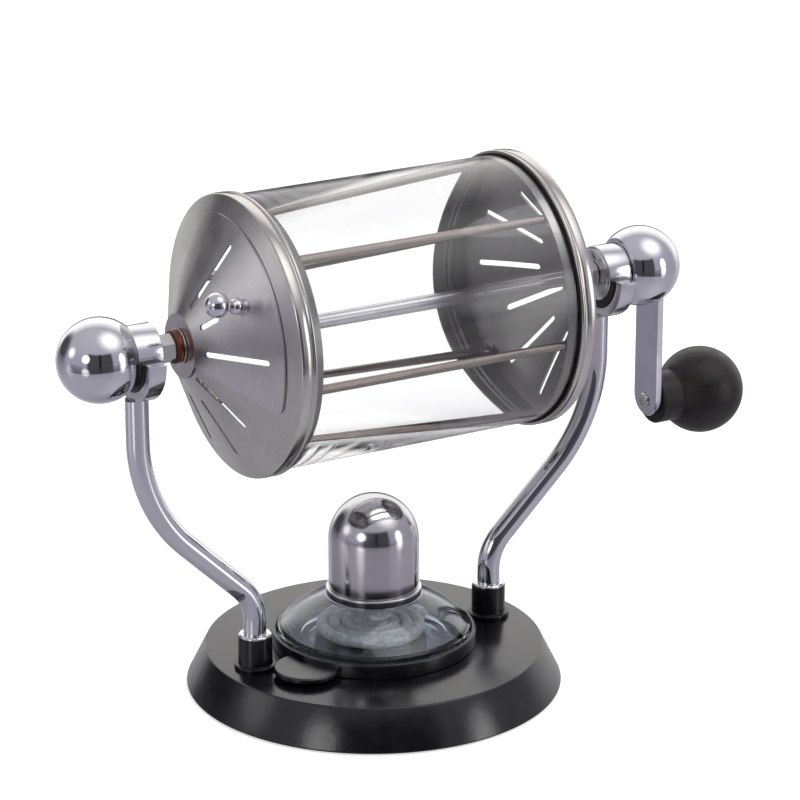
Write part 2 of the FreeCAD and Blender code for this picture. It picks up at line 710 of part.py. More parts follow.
def make_rods():
    """The stirring rods, evenly round the drum just inside the skirts."""
    for index in range(int(value("rod_count"))):
        rod = doc.addObject("Part::Cylinder", f"stir_rod_{index + 1}")
        rod.Label = rod.Name
        angle = f"(rod_angle + {index} * 360 / rod_count)"
        across, up = polar(ROD_CIRCLE, angle)
        bind(rod, Radius="rod_radius", Height=f"2 * {ROD_END}")
        rod.Placement.Rotation = FreeCAD.Rotation(FreeCAD.Vector(0, 1, 0), 90)
        place(rod, x=f"drum_offset - {ROD_END}", y=across, z=f"axis_height + {up}")
        pieces.append(rod)


def make_axle():
    """The axle from ball to ball; its ends are thinner threads."""
    section = [
        (f"-{STUD_END}", "0"),
        (f"-{STUD_END}", "ball_stud_radius"),
        (f"-{BALL_FLAT}", "ball_stud_radius"),
        (f"-{BALL_FLAT}", "axle_radius"),
        (BALL_FLAT, "axle_radius"),
        (BALL_FLAT, "ball_stud_radius"),
        (STUD_END, "ball_stud_radius"),
        (STUD_END, "0"),
    ]
    turned_piece("axle", "right", section)


def make_hub_nut(side):
    """The flanged nut on the axle inside a cone."""
    face = f"({HUB} - cap_wall)"
    flange_end = f"({face} - hub_flange_height)"
    flange = ring_section(flange_end, face, AXLE_HOLE, "hub_nut_flange")
    nut = turned_piece(f"inner_hub_nut_{side}", side, flange)
    sign = SIDES[side]
    start = f"({sign}) * ({flange_end} - hub_nut_height / 2)"
    hexagon_sketch = outline(nut, "hexagon", "YZ_Plane", hexagon("hub_nut_flats"), lift=start)
    pad(nut, hexagon_sketch, "hub_nut_height", midplane=True)
    cut_through(nut, circles(nut, "thread", "YZ_Plane", [("0", "0", AXLE_HOLE)]))


def make_hub_washers():
    """Left, the flanged bush that the door turns on; right, a plain thick washer."""
    bush = [
        (HUB, AXLE_HOLE),
        (HUB, "bush_radius"),
        (WASHERS, "bush_radius"),
        (WASHERS, "hub_washer_radius"),
        (COPPER, "hub_washer_radius"),
        (COPPER, AXLE_HOLE),
    ]
    turned_piece("door_bush", "left", bush)
    washer = ring_section(HUB, COPPER, AXLE_HOLE, "hub_washer_radius")
    turned_piece("hub_washer", "right", washer)


def make_washers(side):
    """The copper washer, the fibre washer and the lock nut outside a cone."""
    copper = ring_section(COPPER, FIBRE, AXLE_HOLE, "washer_radius")
    turned_piece(f"copper_washer_{side}", side, copper)
    fibre = ring_section(FIBRE, LOCK_NUT, AXLE_HOLE, "washer_radius")
    turned_piece(f"fibre_washer_{side}", side, fibre)
    nut = drum_body(f"lock_nut_{side}")
    middle = f"({SIDES[side]}) * ({LOCK_NUT} + lock_nut_height / 2)"
    hexagon_sketch = outline(nut, "hexagon", "YZ_Plane", hexagon("lock_nut_flats"), lift=middle)
    pad(nut, hexagon_sketch, "lock_nut_height", midplane=True)
    cut_through(nut, circles(nut, "thread", "YZ_Plane", [("0", "0", AXLE_HOLE)]))


def make_ball(label, side):
    """A chrome ball, flat towards the sleeve, with a blind threaded hole."""
    flat_radius = "sqrt(ball_radius^2 - ball_seat^2)"
    bore = "ball_stud_radius + thread_gap"
    bore_end = f"{STUD_END} + bore_end_gap"
    section = [
        (BALL_FLAT, bore),
        (BALL_FLAT, flat_radius),
        (f"{BALL_CENTRE} + ball_radius", "0", "cw", "ball_radius"),
        (bore_end, "0"),
        (bore_end, bore),
    ]
    return turned_piece(label, side, section)


# --- Crank ---


def cut_arm_slot(ball):
    """The slot from below that the crank arm is pressed into."""
    half = "(arm_width / 2 + arm_fit)"
    corners = [
        (f"-{half}", "-2 * ball_radius"),
        (half, "-2 * ball_radius"),
        (half, "arm_root + arm_fit"),
        (f"-{half}", "arm_root + arm_fit"),
    ]
    middle = f"{ARM_INNER} + arm_thickness / 2"
    sketch = outline(ball, "arm_slot", "YZ_Plane", corners, lift=middle)
    feature = ball.newObject("PartDesign::Pocket", "crank_ball_arm_slot_cut")
    feature.Profile = sketch
    feature.SideType = "Symmetric"
    bind(feature, Length="arm_thickness + 2 * arm_fit")


def make_crank_arm():
    """The flat bar from the crank ball down to the knob, with a round end."""
    half = "(arm_width / 2)"
    end = "-(throw + arm_tail)"
    corners = [
        (f"-{half}", f"{end} + {half}"),
        ("0", end, "ccw", half),
        (half, f"{end} + {half}", "ccw", half),
        (half, "arm_root"),
        (f"-{half}", "arm_root"),
    ]
    arm = drum_body("crank_arm")
    middle = f"{ARM_INNER} + arm_thickness / 2"
    pad(arm, outline(arm, "side", "YZ_Plane", corners, lift=middle), "arm_thickness", midplane=True)
    hole = [("0", "-throw", "spindle_neck + thread_gap")]
    cut_through(arm, circles(arm, "spindle_hole", "YZ_Plane", hole))


def make_spindle():
    """The shoulder bolt that the knob turns on, riveted over on the arm's inner face."""
    head = f"({RECESS} + thread_gap)"
    section = [
        (f"{ARM_INNER} - rivet_height", "0"),
        (f"{ARM_INNER} - rivet_height", "rivet_radius - rivet_height / 2"),
        (f"{ARM_INNER} - rivet_height / 2", "rivet_radius"),
        (ARM_INNER, "rivet_radius"),
        (ARM_INNER, "spindle_neck"),
        (ARM_OUTER, "spindle_neck"),
        (ARM_OUTER, "spindle_radius"),
        (head, "spindle_radius"),
        (head, "spindle_head_radius"),
        (f"{head} + spindle_head - fold", "spindle_head_radius"),
        (f"{head} + spindle_head", "spindle_head_radius - fold"),
        (f"{head} + spindle_head", "0"),
    ]
    spindle = new_body("knob_spindle", x="drum_offset", z="axis_height - throw")
    revolve(spindle, outline(spindle, "section", "XZ_Plane", section), "X_Axis")


def make_crank_knob():
    """The heat-resistant ball with a collar, bored through, with a recess for the head."""
    bore = "(spindle_radius + knob_fit)"
    recess = "(spindle_head_radius + head_gap)"
    neck_end = f"({KNOB_CENTRE} - sqrt(knob_radius^2 - knob_neck^2))"
    mouth = f"({KNOB_CENTRE} + sqrt(knob_radius^2 - {recess}^2))"
    section = [
        (KNOB_START, bore),
        (KNOB_START, "knob_neck - knob_round"),
        (f"{KNOB_START} + knob_round", "knob_neck", "cw", "knob_round"),
        (neck_end, "knob_neck"),
        (mouth, recess, "cw", "knob_radius"),
        (RECESS, recess),
        (RECESS, bore),
    ]
    knob = new_body("crank_knob", x="drum_offset", z="axis_height - throw")
    revolve(knob, outline(knob, "section", "XZ_Plane", section), "X_Axis")


# --- Bean door ---


def make_door():
    """A slotted sector of a cone on a hub ring; it turns on the bush over the left end cap."""
    inner = f"({HUB} + door_gap)"
    outer = f"({inner} + door_sheet)"
    drop = f"{SLOPE} * (door_radius - hub_radius)"
    section = [
        (inner, "bush_radius + bush_fit"),
        (inner, "hub_radius"),
        (f"{inner} - {drop}", "door_radius"),
        (f"{outer} - {drop}", "door_radius"),
        (outer, "hub_radius"),
        (outer, "bush_radius + bush_fit"),
    ]
    door = turned_piece("bean_door", "left", section)
    top = "90"
    low = f"({top} - door_span / 2)"
    high = f"({top} + door_span / 2)"
    inset = "asin(door_corner / (door_radius - door_corner)) / (1 deg)"
    side_end = "sqrt((door_radius - door_corner)^2 - door_corner^2)"
    sector = [
        polar("hub_radius", low) + ("cw", "hub_radius"),
        polar(side_end, low),
        polar("door_radius", f"({low} + {inset})") + ("cw", "door_corner"),
        polar("door_radius", f"({high} - {inset})") + ("cw", "door_radius"),
        polar(side_end, high) + ("cw", "door_corner"),
        polar("hub_radius", high),
        polar("hub_radius", f"({top} + 180)") + ("cw", "hub_radius"),
    ]
    trim = outline(door, "sector", "YZ_Plane", sector)
    add_circle(trim, "0", "0", "door_radius + rim_width")
    cut_through(door, trim)
    slots = {
        "short_slot": (top, "short_slot_outer"),
        "front_slot": (f"({top} - door_slot_spread)", "door_slot_outer"),
        "back_slot": (f"({top} + door_slot_spread)", "door_slot_outer"),
    }
    for name, (angle, slot_end) in slots.items():
        slot = radial_slot(angle, "door_slot_inner", slot_end)
        cut_through(door, outline(door, name, "YZ_Plane", slot))
    cut_knob_hole(door)
    turn_to(door, "door_angle")


def turn_to(body, angle):
    """Turns a body about the axle's line from the top to an angle counted from the front."""
    body.Placement.Rotation = FreeCAD.Rotation(FreeCAD.Vector(1, 0, 0), 1)
    bind(body, Placement__Rotation__Angle=f"90 - {angle}")


def on_knob_axis(height, aside):
    """A place in the door's middle plane: height above the door's face, aside along it."""
    along = f"({HUB} + door_gap + door_sheet - {SLOPE} * (knob_place - hub_radius))"
    rise = f"cos({CONE_TILT})"
    lean = f"sin({CONE_TILT})"
    return (
        f"-({along} + ({height}) * {rise} - ({aside}) * {lean})",
        f"knob_place + ({height}) * {lean} + ({aside}) * {rise}",
    )


def cut_knob_hole(door):
    """The hole in the door for the knob's shank, square to the cone."""
    deep = "-2 * door_sheet"
    corners = [
        on_knob_axis(deep, "0"),
        on_knob_axis(deep, "knob_stem"),
        on_knob_axis("door_sheet", "knob_stem"),
        on_knob_axis("door_sheet", "0"),
    ]
    section = outline(door, "knob_hole", "XZ_Plane", corners)
    cut_round(door, section, (section, [f"Edge{len(corners)}"]))


def make_door_knob():
    """A small turned knob, a bead, a stem and a ball, riveted flush through the door."""
    tail = f"-(door_sheet * cos({CONE_TILT}))"
    bead_foot = "sqrt(bead_radius^2 - bead_height^2)"
    bead_end = "(bead_height + sqrt(bead_radius^2 - knob_stem^2))"
    ball_start = "(ball_height - sqrt(knob_ball^2 - knob_stem^2))"
    corners = [
        on_knob_axis(tail, "0"),
        on_knob_axis(tail, "knob_stem"),
        on_knob_axis("0", "knob_stem"),
        on_knob_axis("0", bead_foot),
        on_knob_axis(bead_end, "knob_stem") + ("ccw", "bead_radius"),
        on_knob_axis(ball_start, "knob_stem"),
        on_knob_axis("ball_height + knob_ball", "0") + ("ccw", "knob_ball"),
    ]
    knob = drum_body("door_knob")
    section = outline(knob, "section", "XZ_Plane", corners)
    revolve(knob, section, (section, [f"Edge{len(corners)}"]))
    turn_to(knob, "door_angle")


# --- Spirit lamp ---


def make_tray():
    """A round dish with a finger tab, which carries the font."""
    tray = new_body("lamp_tray", z=LAMP_Z)
    pad(tray, circles(tray, "disc", "XY_Plane", [("0", "0", "tray_radius")]), "tray_height")
    tab = [("tab_reach * cos(tab_angle)", "tab_reach * sin(tab_angle)", "tab_radius")]
    pad(tray, circles(tray, "tab", "XY_Plane", tab, lift="tab_lift"), "tab_thickness")
    hollow = ring_section("0", "tray_radius - tray_wall", "tray_floor", "tray_height + fold")
    dish = outline(tray, "dish", "XZ_Plane", hollow)
    cut_round(tray, dish, (origin_feature(tray, "Z_Axis"), [""]))


def make_font():
    """The low glass vessel that holds the spirit, with a wide neck."""
    lip = "neck_start + neck_height"
    inner_neck = "neck_radius - font_wall"
    inner_shoulder = "neck_start - font_wall / 3"
    section = [
        ("0", "0"),
        ("font_foot", "0"),
        ("font_radius", "font_belly", "ccw", "font_belly * 1.1"),
        ("neck_radius", "neck_start", "ccw", "font_shoulder"),
        ("neck_radius", lip),
        (inner_neck, lip),
        (inner_neck, inner_shoulder),
        ("font_radius - font_wall", "font_belly", "cw", "font_shoulder"),
        ("font_foot - font_wall / 2", "font_floor", "cw", "font_belly * 1.1"),
        ("0", "font_floor"),
    ]
    upright_piece("lamp_font", section, z=FONT_Z)


def make_burner():
    """The collar in the font's neck with its wick tube, and the wick, coiled in the font."""
    spigot = "neck_radius - font_wall - burner_fit"
    tube_top = "burner_height + wick_tube_height"
    section = [
        ("wick_radius", "-burner_drop"),
        (spigot, "-burner_drop"),
        (spigot, "0"),
        ("neck_radius", "0"),
        ("neck_radius", "burner_flange"),
        ("burner_radius", "burner_flange"),
        ("burner_radius", "burner_height"),
        ("wick_tube", "burner_height"),
        ("wick_tube", tube_top),
        ("wick_radius", tube_top),
    ]
    upright_piece("burner_collar", section, z=BURNER_Z)
    wick_foot = "(font_floor + wick_clear - neck_start - neck_height)"
    coil_top = f"({wick_foot} + coil_height)"
    wick = [
        ("0", wick_foot),
        ("coil_radius - coil_height / 2", wick_foot),
        ("coil_radius", f"{wick_foot} + coil_height / 2", "ccw", "coil_height / 2"),
        ("coil_radius - coil_height / 2", coil_top, "ccw", "coil_height / 2"),
        ("wick_radius", coil_top),
        ("wick_radius", f"{tube_top} + wick_tip"),
        ("0", f"{tube_top} + wick_tip"),
    ]
    upright_piece("wick", wick, z=BURNER_Z)


def make_snuffer():
    """The domed cap that covers the wick."""
    inner = "(snuffer_radius - snuffer_wall)"
    section = [
        (inner, "0"),
        ("snuffer_radius", "0"),
        ("snuffer_radius", "snuffer_side"),
        ("0", "snuffer_side + snuffer_radius", "ccw", "snuffer_radius"),
        ("0", f"snuffer_side + {inner}"),
        (inner, "snuffer_side", "cw", inner),
    ]
    upright_piece("snuffer_cap", section, z=SNUFFER_Z)


# --- The whole roaster ---

make_base()
for side in SIDES:
    make_post(side)
    make_socket(side)
    make_post_fixing(side)
    make_half_ring(f"yoke_{side}", side, "yoke_bore", "yoke_radius", "yoke_width")
    liner_bore = "(sleeve_radius + liner_gap)"
    make_half_ring(f"saddle_liner_{side}", side, liner_bore, "yoke_bore", "liner_width")
    make_sleeve(side)

make_glass()
left_cap = make_end_cap("left")
cut_slots(left_cap, "left_slot_angle", "left_slot_threes")
cut_bean_opening(left_cap)
right_cap = make_end_cap("right")
cut_slots(right_cap, "right_slot_angle", "right_slot_threes")
cut_last_slot(right_cap, "right_slot_angle")
for side in SIDES:
    make_rim_ring(side)
    make_gasket(side)
    make_hub_nut(side)
    make_washers(side)
make_rods()
make_axle()
make_hub_washers()
make_ball("left_ball", "left")
cut_arm_slot(make_ball("crank_ball", "right"))

make_crank_arm()
make_spindle()
make_crank_knob()
make_door()
make_door_knob()

make_tray()
make_font()
make_burner()
make_snuffer()

doc.recompute()

# --- Checks and files ---

for item in doc.Objects:
    if {"Invalid", "Error"} & set(item.State):
        raise ValueError(f"{item.Label} failed: {item.State}")

os.makedirs("parts", exist_ok=True)
for piece in pieces:
    shape = piece.Shape
    if shape.isNull() or not shape.isValid() or not shape.Solids:
        raise ValueError(f"{piece.Label} has no valid solid")
for piece in pieces:
    piece.Shape.exportStep(f"parts/{piece.Label}.step")
    print(f"{piece.Label}: {len(piece.Shape.Solids)} solid, {piece.Shape.Volume:.0f} mm3")
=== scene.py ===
# %% [markdown]
# A stovetop coffee bean roaster: a glass drum with conical steel ends hangs in two bent posts over a
# spirit lamp. The construction is loaded first, as a fixed frame; every cell after that dresses one
# piece of it. Each new surface is worked out with numpy and takes the place of a plain solid.

# %% Load the construction
import math

import bmesh
import bpy
import numpy as np
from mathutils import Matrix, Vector


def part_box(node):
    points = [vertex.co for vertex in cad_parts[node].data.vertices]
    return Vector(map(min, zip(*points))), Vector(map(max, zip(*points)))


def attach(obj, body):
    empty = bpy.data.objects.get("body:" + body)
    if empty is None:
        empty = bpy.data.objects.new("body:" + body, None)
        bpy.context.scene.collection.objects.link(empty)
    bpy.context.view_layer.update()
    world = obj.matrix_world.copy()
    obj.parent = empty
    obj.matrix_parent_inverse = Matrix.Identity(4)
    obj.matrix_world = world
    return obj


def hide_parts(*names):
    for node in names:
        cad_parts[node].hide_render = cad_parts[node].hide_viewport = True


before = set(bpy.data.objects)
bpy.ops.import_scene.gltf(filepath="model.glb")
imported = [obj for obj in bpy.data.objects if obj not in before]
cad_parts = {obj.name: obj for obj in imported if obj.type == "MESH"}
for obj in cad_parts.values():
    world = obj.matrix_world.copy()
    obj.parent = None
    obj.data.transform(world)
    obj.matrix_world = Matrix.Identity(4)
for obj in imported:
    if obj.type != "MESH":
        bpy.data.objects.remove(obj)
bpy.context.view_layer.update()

# %% [markdown]
# Sizes come from the construction wherever a solid's box gives them. What a box can't tell, such as a
# bend or a slot, is written once, in millimetres turned to metres: here if several pieces share it,
# and otherwise in the cell of its piece.

# %% Sizes
MM = 0.001


def span(name):
    """Lowest and highest corner of a solid as two numpy arrays."""
    low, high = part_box(name)
    return np.array(low), np.array(high)


def half_depth(name):
    """Half of a solid's size from front to back, which is the radius of a turned one."""
    low, high = span(name)
    return (high[1] - low[1]) / 2


SIDES = {"left": -1, "right": 1}
GLASS_LOW, GLASS_HIGH = span("glass_cylinder")
DRUM_X = (GLASS_LOW[0] + GLASS_HIGH[0]) / 2
AXIS_Z = (GLASS_LOW[2] + GLASS_HIGH[2]) / 2
AXLE_LINE = (DRUM_X, 0, AXIS_Z)
GLASS_R = half_depth("glass_cylinder")
GLASS_WALL = 2 * MM
BASE_TOP = span("socket_left")[0][2]
YOKE_R = 18 * MM
HUB_R = 12.5 * MM
HUB_BORE = 3.05 * MM
RIM_R = half_depth("left_rim_ring")
RIM_ROUND = 0.5 * MM
CONE_R = RIM_R - RIM_ROUND
CONE_DEPTH = 21.67 * MM
SLOPE = CONE_DEPTH / (CONE_R - HUB_R)
print(f"drum axis at x {DRUM_X:.4f}, z {AXIS_Z:.4f}, glass radius {GLASS_R:.4f}")

# %% [markdown]
# Most of this object is turned on a lathe or spun from sheet, so one helper does most of the work: a
# profile of distances along the axis and radii is carried round in equal steps. A Screw modifier could
# do it too, but the arrays give exact control of where the rows lie, and corners can be rounded first.


# %% Profiles and grids
# The share of a side that a rounding may use, and in metres: how near points are welded together,
# and how short an edge is dropped.
MOST_OF_SIDE = 0.45
WELD = 2e-6
NO_LENGTH = 1e-7


def rounded(corners, steps=5, closed=True):
    """Rounds the corners of an outline. A corner is (x, y, radius); its arc touches both sides, so it
    starts radius / tan(half the corner's angle) before the corner, and never uses up a side."""
    corners = [tuple(corner) + (0,) * (3 - len(corner)) for corner in corners]
    count = len(corners)
    points = []
    for index, (x, y, radius) in enumerate(corners):
        here = np.array([x, y])
        at_end = not closed and index in (0, count - 1)
        if radius == 0 or at_end:
            points.append(here)
            continue
        before = np.array(corners[index - 1][:2]) - here
        after = np.array(corners[(index + 1) % count][:2]) - here
        to_before = before / np.linalg.norm(before)
        to_after = after / np.linalg.norm(after)
        half = math.acos(np.clip(to_before @ to_after, -1, 1)) / 2
        reach = radius / math.tan(half)
        sides = (np.linalg.norm(before), np.linalg.norm(after))
        reach = min(reach, MOST_OF_SIDE * sides[0], MOST_OF_SIDE * sides[1])
        true_radius = reach * math.tan(half)
        middle = to_before + to_after
        centre = here + middle / np.linalg.norm(middle) * true_radius / math.sin(half)
        start = here + to_before * reach - centre
        end = here + to_after * reach - centre
        turn = math.atan2(start[0] * end[1] - start[1] * end[0], start @ end)
        angles = np.linspace(0, turn, steps + 1)
        base = math.atan2(start[1], start[0])
        arc = centre + true_radius * np.stack([np.cos(base + angles), np.sin(base + angles)], 1)
        points.extend(arc)
    return np.array(points)


def arc_points(centre, radius, start, end, count):
    """Points of an arc about centre, from one angle to another in degrees."""
    angles = np.radians(np.linspace(start, end, count))
    return np.array(centre) + radius * np.stack([np.cos(angles), np.sin(angles)], 1)


def grid_quads(rows, columns, wrap_rows, wrap_columns):
    """Quads of a grid of rows * columns points, as an array of four indices each."""
    row = np.arange(rows if wrap_rows else rows - 1)
    column = np.arange(columns if wrap_columns else columns - 1)
    row, column = np.meshgrid(row, column, indexing="ij")
    next_row = (row + 1) % rows
    next_column = (column + 1) % columns
    corners = [row * columns + column, row * columns + next_column,
               next_row * columns + next_column, next_row * columns + column]
    return np.stack(corners, -1).reshape(-1, 4)


def end_face(loop):
    """The patch of a flat end: a loop of points, and its middle once for each of them."""
    return (np.stack([loop, np.broadcast_to(loop.mean(0), loop.shape)]), False, True)


def solid(name, patches, body, replaced=(), sharp=32):
    """One closed mesh from grids of points. Each patch is (points[rows, columns, 3], wrap_rows,
    wrap_columns). Shared edges are welded, faces are turned outwards, and edges that turn more than
    sharp degrees stay crisp."""
    points = []
    quads = []
    start = 0
    for grid, wrap_rows, wrap_columns in patches:
        rows, columns = grid.shape[:2]
        points.append(grid.reshape(-1, 3))
        quads.append(grid_quads(rows, columns, wrap_rows, wrap_columns) + start)
        start += rows * columns
    mesh = bpy.data.meshes.new(name)
    mesh.from_pydata(np.concatenate(points).tolist(), [], np.concatenate(quads).tolist())
    work = bmesh.new()
    work.from_mesh(mesh)
    bmesh.ops.remove_doubles(work, verts=work.verts, dist=WELD)
    bmesh.ops.dissolve_degenerate(work, edges=work.edges, dist=NO_LENGTH)
    bmesh.ops.delete(work, geom=[edge for edge in work.edges if edge.is_wire], context="EDGES")
    bmesh.ops.recalc_face_normals(work, faces=work.faces)
    open_edges = sum(1 for edge in work.edges if not edge.is_manifold)
    work.to_mesh(mesh)
    work.free()
    mesh.shade_smooth()
    mesh.set_sharp_from_angle(angle=math.radians(sharp))
    piece = bpy.data.objects.new(name, mesh)
    bpy.context.scene.collection.objects.link(piece)
    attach(piece, body)
    if replaced:
        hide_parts(*replaced)
    print(f"{name}: {len(mesh.polygons)} faces, {open_edges} open edges")
    return piece


def around_x(profile, angles, x=None, z=None):
    """Carries a profile (along, radius) round a line parallel to X: y = -r cos a, z = r sin a, where
    the angle a runs from the front (-Y) towards the top."""
    x = DRUM_X if x is None else x
    z = AXIS_Z if z is None else z
    along, radius = profile[:, 0][None, :], profile[:, 1][None, :]
    turn = np.asarray(angles)[:, None]
    return np.stack([x + along + 0 * turn, -radius * np.cos(turn), z + radius * np.sin(turn)], -1)


def around_z(profile, angles, x=0.0, y=0.0, z=0.0):
    """Carries a profile (radius, height) round an upright line through (x, y)."""
    radius, height = profile[:, 0][None, :], profile[:, 1][None, :]
    turn = np.asarray(angles)[:, None]
    return np.stack([x + radius * np.cos(turn), y + radius * np.sin(turn), z + height + 0 * turn], -1)


def full_turn(count):
    """Equal angles all the way round, the last one step short of the first."""
    return np.linspace(0, 2 * math.pi, count, endpoint=False)


def profile_of(corners, closed):
    """An outline with its corners rounded; an array of points is a finished profile already."""
    return corners if isinstance(corners, np.ndarray) else rounded(corners, closed=closed)


def turned_x(name, corners, body, replaced, steps=128, x=None, z=None, closed=True, side=1):
    """A piece turned about a line parallel to X from an outline of (along, radius, rounding)."""
    grid = around_x(profile_of(corners, closed) * [side, 1], full_turn(steps), x, z)
    return solid(name, [(grid, True, closed)], body, replaced)


def turned_z(name, corners, body, replaced, steps=128, x=0.0, y=0.0, z=0.0, closed=True):
    """A piece turned about an upright line from an outline of (radius, height, rounding)."""
    grid = around_z(profile_of(corners, closed), full_turn(steps), x, y, z)
    return solid(name, [(grid, True, closed)], body, replaced)


def along_axle(name):
    """Where a solid of the drum starts and ends along the axle, counted from the drum's middle."""
    low, high = span(name)
    return low[0] - DRUM_X, high[0] - DRUM_X


def reach_out(name):
    """The nearest and the furthest place of a solid, as distances from the drum's middle."""
    return sorted(abs(place) for place in along_axle(name))


# %% [markdown]
# A finish is a small graph of shader nodes. A few helpers keep each graph short: one makes a material
# with its constants on the shader's own sockets, the others add noise to its roughness and its relief.


# %% Material helpers
SMOOTH_MIDDLE = (0.25, 0.75)
COLOR_MIDDLE = (0.3, 0.7)


def new_material(name, color, metallic=0.0, roughness=0.5, **sockets):
    """A Principled material with constant sockets, and its node tree."""
    material = bpy.data.materials.new(name)
    material.use_nodes = True
    shader = material.node_tree.nodes["Principled BSDF"]
    shader.inputs["Base Color"].default_value = (*color, 1)
    shader.inputs["Metallic"].default_value = metallic
    shader.inputs["Roughness"].default_value = roughness
    for socket, number in sockets.items():
        shader.inputs[socket.replace("_", " ")].default_value = number
    return material, material.node_tree, shader


def node(tree, kind, **settings):
    """Adds a shader node; settings whose name is a socket's are its value or its link."""
    added = tree.nodes.new("ShaderNode" + kind)
    for key, setting in settings.items():
        if hasattr(added, key):
            setattr(added, key, setting)
            continue
        socket = added.inputs[int(key[1:])] if key[1:].isdigit() else added.inputs[key.replace("_", " ")]
        if isinstance(setting, bpy.types.NodeSocket):
            tree.links.new(setting, socket)
        else:
            socket.default_value = setting
    return added


def calculate(tree, operation, *values):
    """The result of a Math node on numbers or sockets."""
    inputs = {f"i{index}": value for index, value in enumerate(values)}
    return node(tree, "Math", operation=operation, **inputs).outputs[0]


def vector(tree, operation, *values):
    """The result of a Vector Math node: a number for a length or a dot product."""
    inputs = {f"i{index}": value for index, value in enumerate(values)}
    added = node(tree, "VectorMath", operation=operation, **inputs)
    return added.outputs["Value" if operation in ("LENGTH", "DOT_PRODUCT") else "Vector"]


def ramp(tree, value, start, end, first=0.0, last=1.0, smooth=False):
    """Maps start..end of a value to first..last, and holds it there beyond both."""
    kind = "SMOOTHSTEP" if smooth else "LINEAR"
    mapped = node(
        tree, "MapRange", interpolation_type=kind, i0=value, i1=start, i2=end, i3=first, i4=last)
    return mapped.outputs[0]


def object_place(tree, centre=(0, 0, 0)):
    """Object coordinates counted from a centre."""
    place = node(tree, "TexCoord").outputs["Object"]
    return node(tree, "Mapping", Location=tuple(-c for c in centre), Vector=place).outputs["Vector"]


def polar_place(tree, centre, axis):
    """(angle, radius, along) about an axis through the centre, for grain that runs round a piece."""
    axes = "XYZ".replace(axis, "")
    parts = node(tree, "SeparateXYZ", Vector=object_place(tree, centre)).outputs
    across, up = parts[axes[0]], parts[axes[1]]
    angle = calculate(tree, "ARCTAN2", up, across)
    radius = vector(tree, "LENGTH", node(tree, "CombineXYZ", X=across, Y=up).outputs[0])
    return node(tree, "CombineXYZ", X=angle, Y=radius, Z=parts[axis]).outputs[0]


def noise(tree, place, scale, stretch=(1, 1, 1), detail=4.0):
    """A noise value at a place; stretch squeezes the pattern along each coordinate."""
    stretched = vector(tree, "MULTIPLY", place, stretch)
    return node(tree, "TexNoise", Vector=stretched, Scale=scale, Detail=detail).outputs["Fac"]


def between(tree, value, low, high):
    """Maps the middle of a noise value's range to low..high."""
    return ramp(tree, value, *SMOOTH_MIDDLE, low, high, smooth=True)


def color_between(tree, value, first, second):
    """A colour ramp between two colours over the middle of a noise value's range."""
    colors = node(tree, "ValToRGB", Fac=value)
    colors.color_ramp.interpolation = "EASE"
    for stop, position, color in zip(colors.color_ramp.elements, COLOR_MIDDLE, (first, second)):
        stop.position = position
        stop.color = (*color, 1)
    return colors.outputs["Color"]


def relief(tree, shader, height, distance, strength=1.0):
    """Feeds a height into the shader's normal as relief of the given depth in metres."""
    bump = node(tree, "Bump", Height=height, Distance=distance, Strength=strength)
    tree.links.new(bump.outputs["Normal"], shader.inputs["Normal"])


FINISHES = {}


def finish(piece, slot):
    """Gives a piece the finish of a material slot."""
    piece.data.materials.clear()
    piece.data.materials.append(FINISHES[slot])


# %% [markdown]
# Chrome plate is almost a mirror. What makes it look real is that it isn't perfect: a faint smear in
# its roughness and a very shallow waviness bend the reflections a little.


# %% Chrome and steel
SMEAR_SCALE = 90
WAVE_SCALE = 60
CLOUD_SCALE = 38
RINGS = 9000
CAP_RINGS = 5000
ARC_SHARE = 0.55
CLOUD_SHARE = 0.45
FAN = 0.6
OUTWARD_FROM = (0.1, 0.5)
# Painted shade: the tone that darkens a sheet's colour inside the drum and on its edges.
PAINTED_INSIDE_SHADE = (0.50, 0.50, 0.51, 1)
LAMP_LINE = (0, 0, 0)


def chrome(name, color, roughness, wave):
    """Polished plate: metallic, low roughness that smears a little, and a shallow slow wave."""
    material, tree, shader = new_material(name, color, 1.0, roughness)
    place = object_place(tree)
    smear = between(tree, noise(tree, place, SMEAR_SCALE), roughness * 0.6, roughness * 1.5)
    tree.links.new(smear, shader.inputs["Roughness"])
    relief(tree, shader, noise(tree, place, WAVE_SCALE, detail=1.0), wave)
    return material


def outward(tree):
    """1 where a sheet of the drum faces outwards along the axle, 0 on its edges and inside, where painted
    shade darkens it.
    """
    normal = node(tree, "SeparateXYZ", Vector=node(tree, "TexCoord").outputs["Normal"]).outputs["X"]
    along = node(tree, "SeparateXYZ", Vector=object_place(tree, AXLE_LINE)).outputs["X"]
    facing = calculate(tree, "MULTIPLY", normal, calculate(tree, "SIGN", along))
    return ramp(tree, facing, *OUTWARD_FROM)


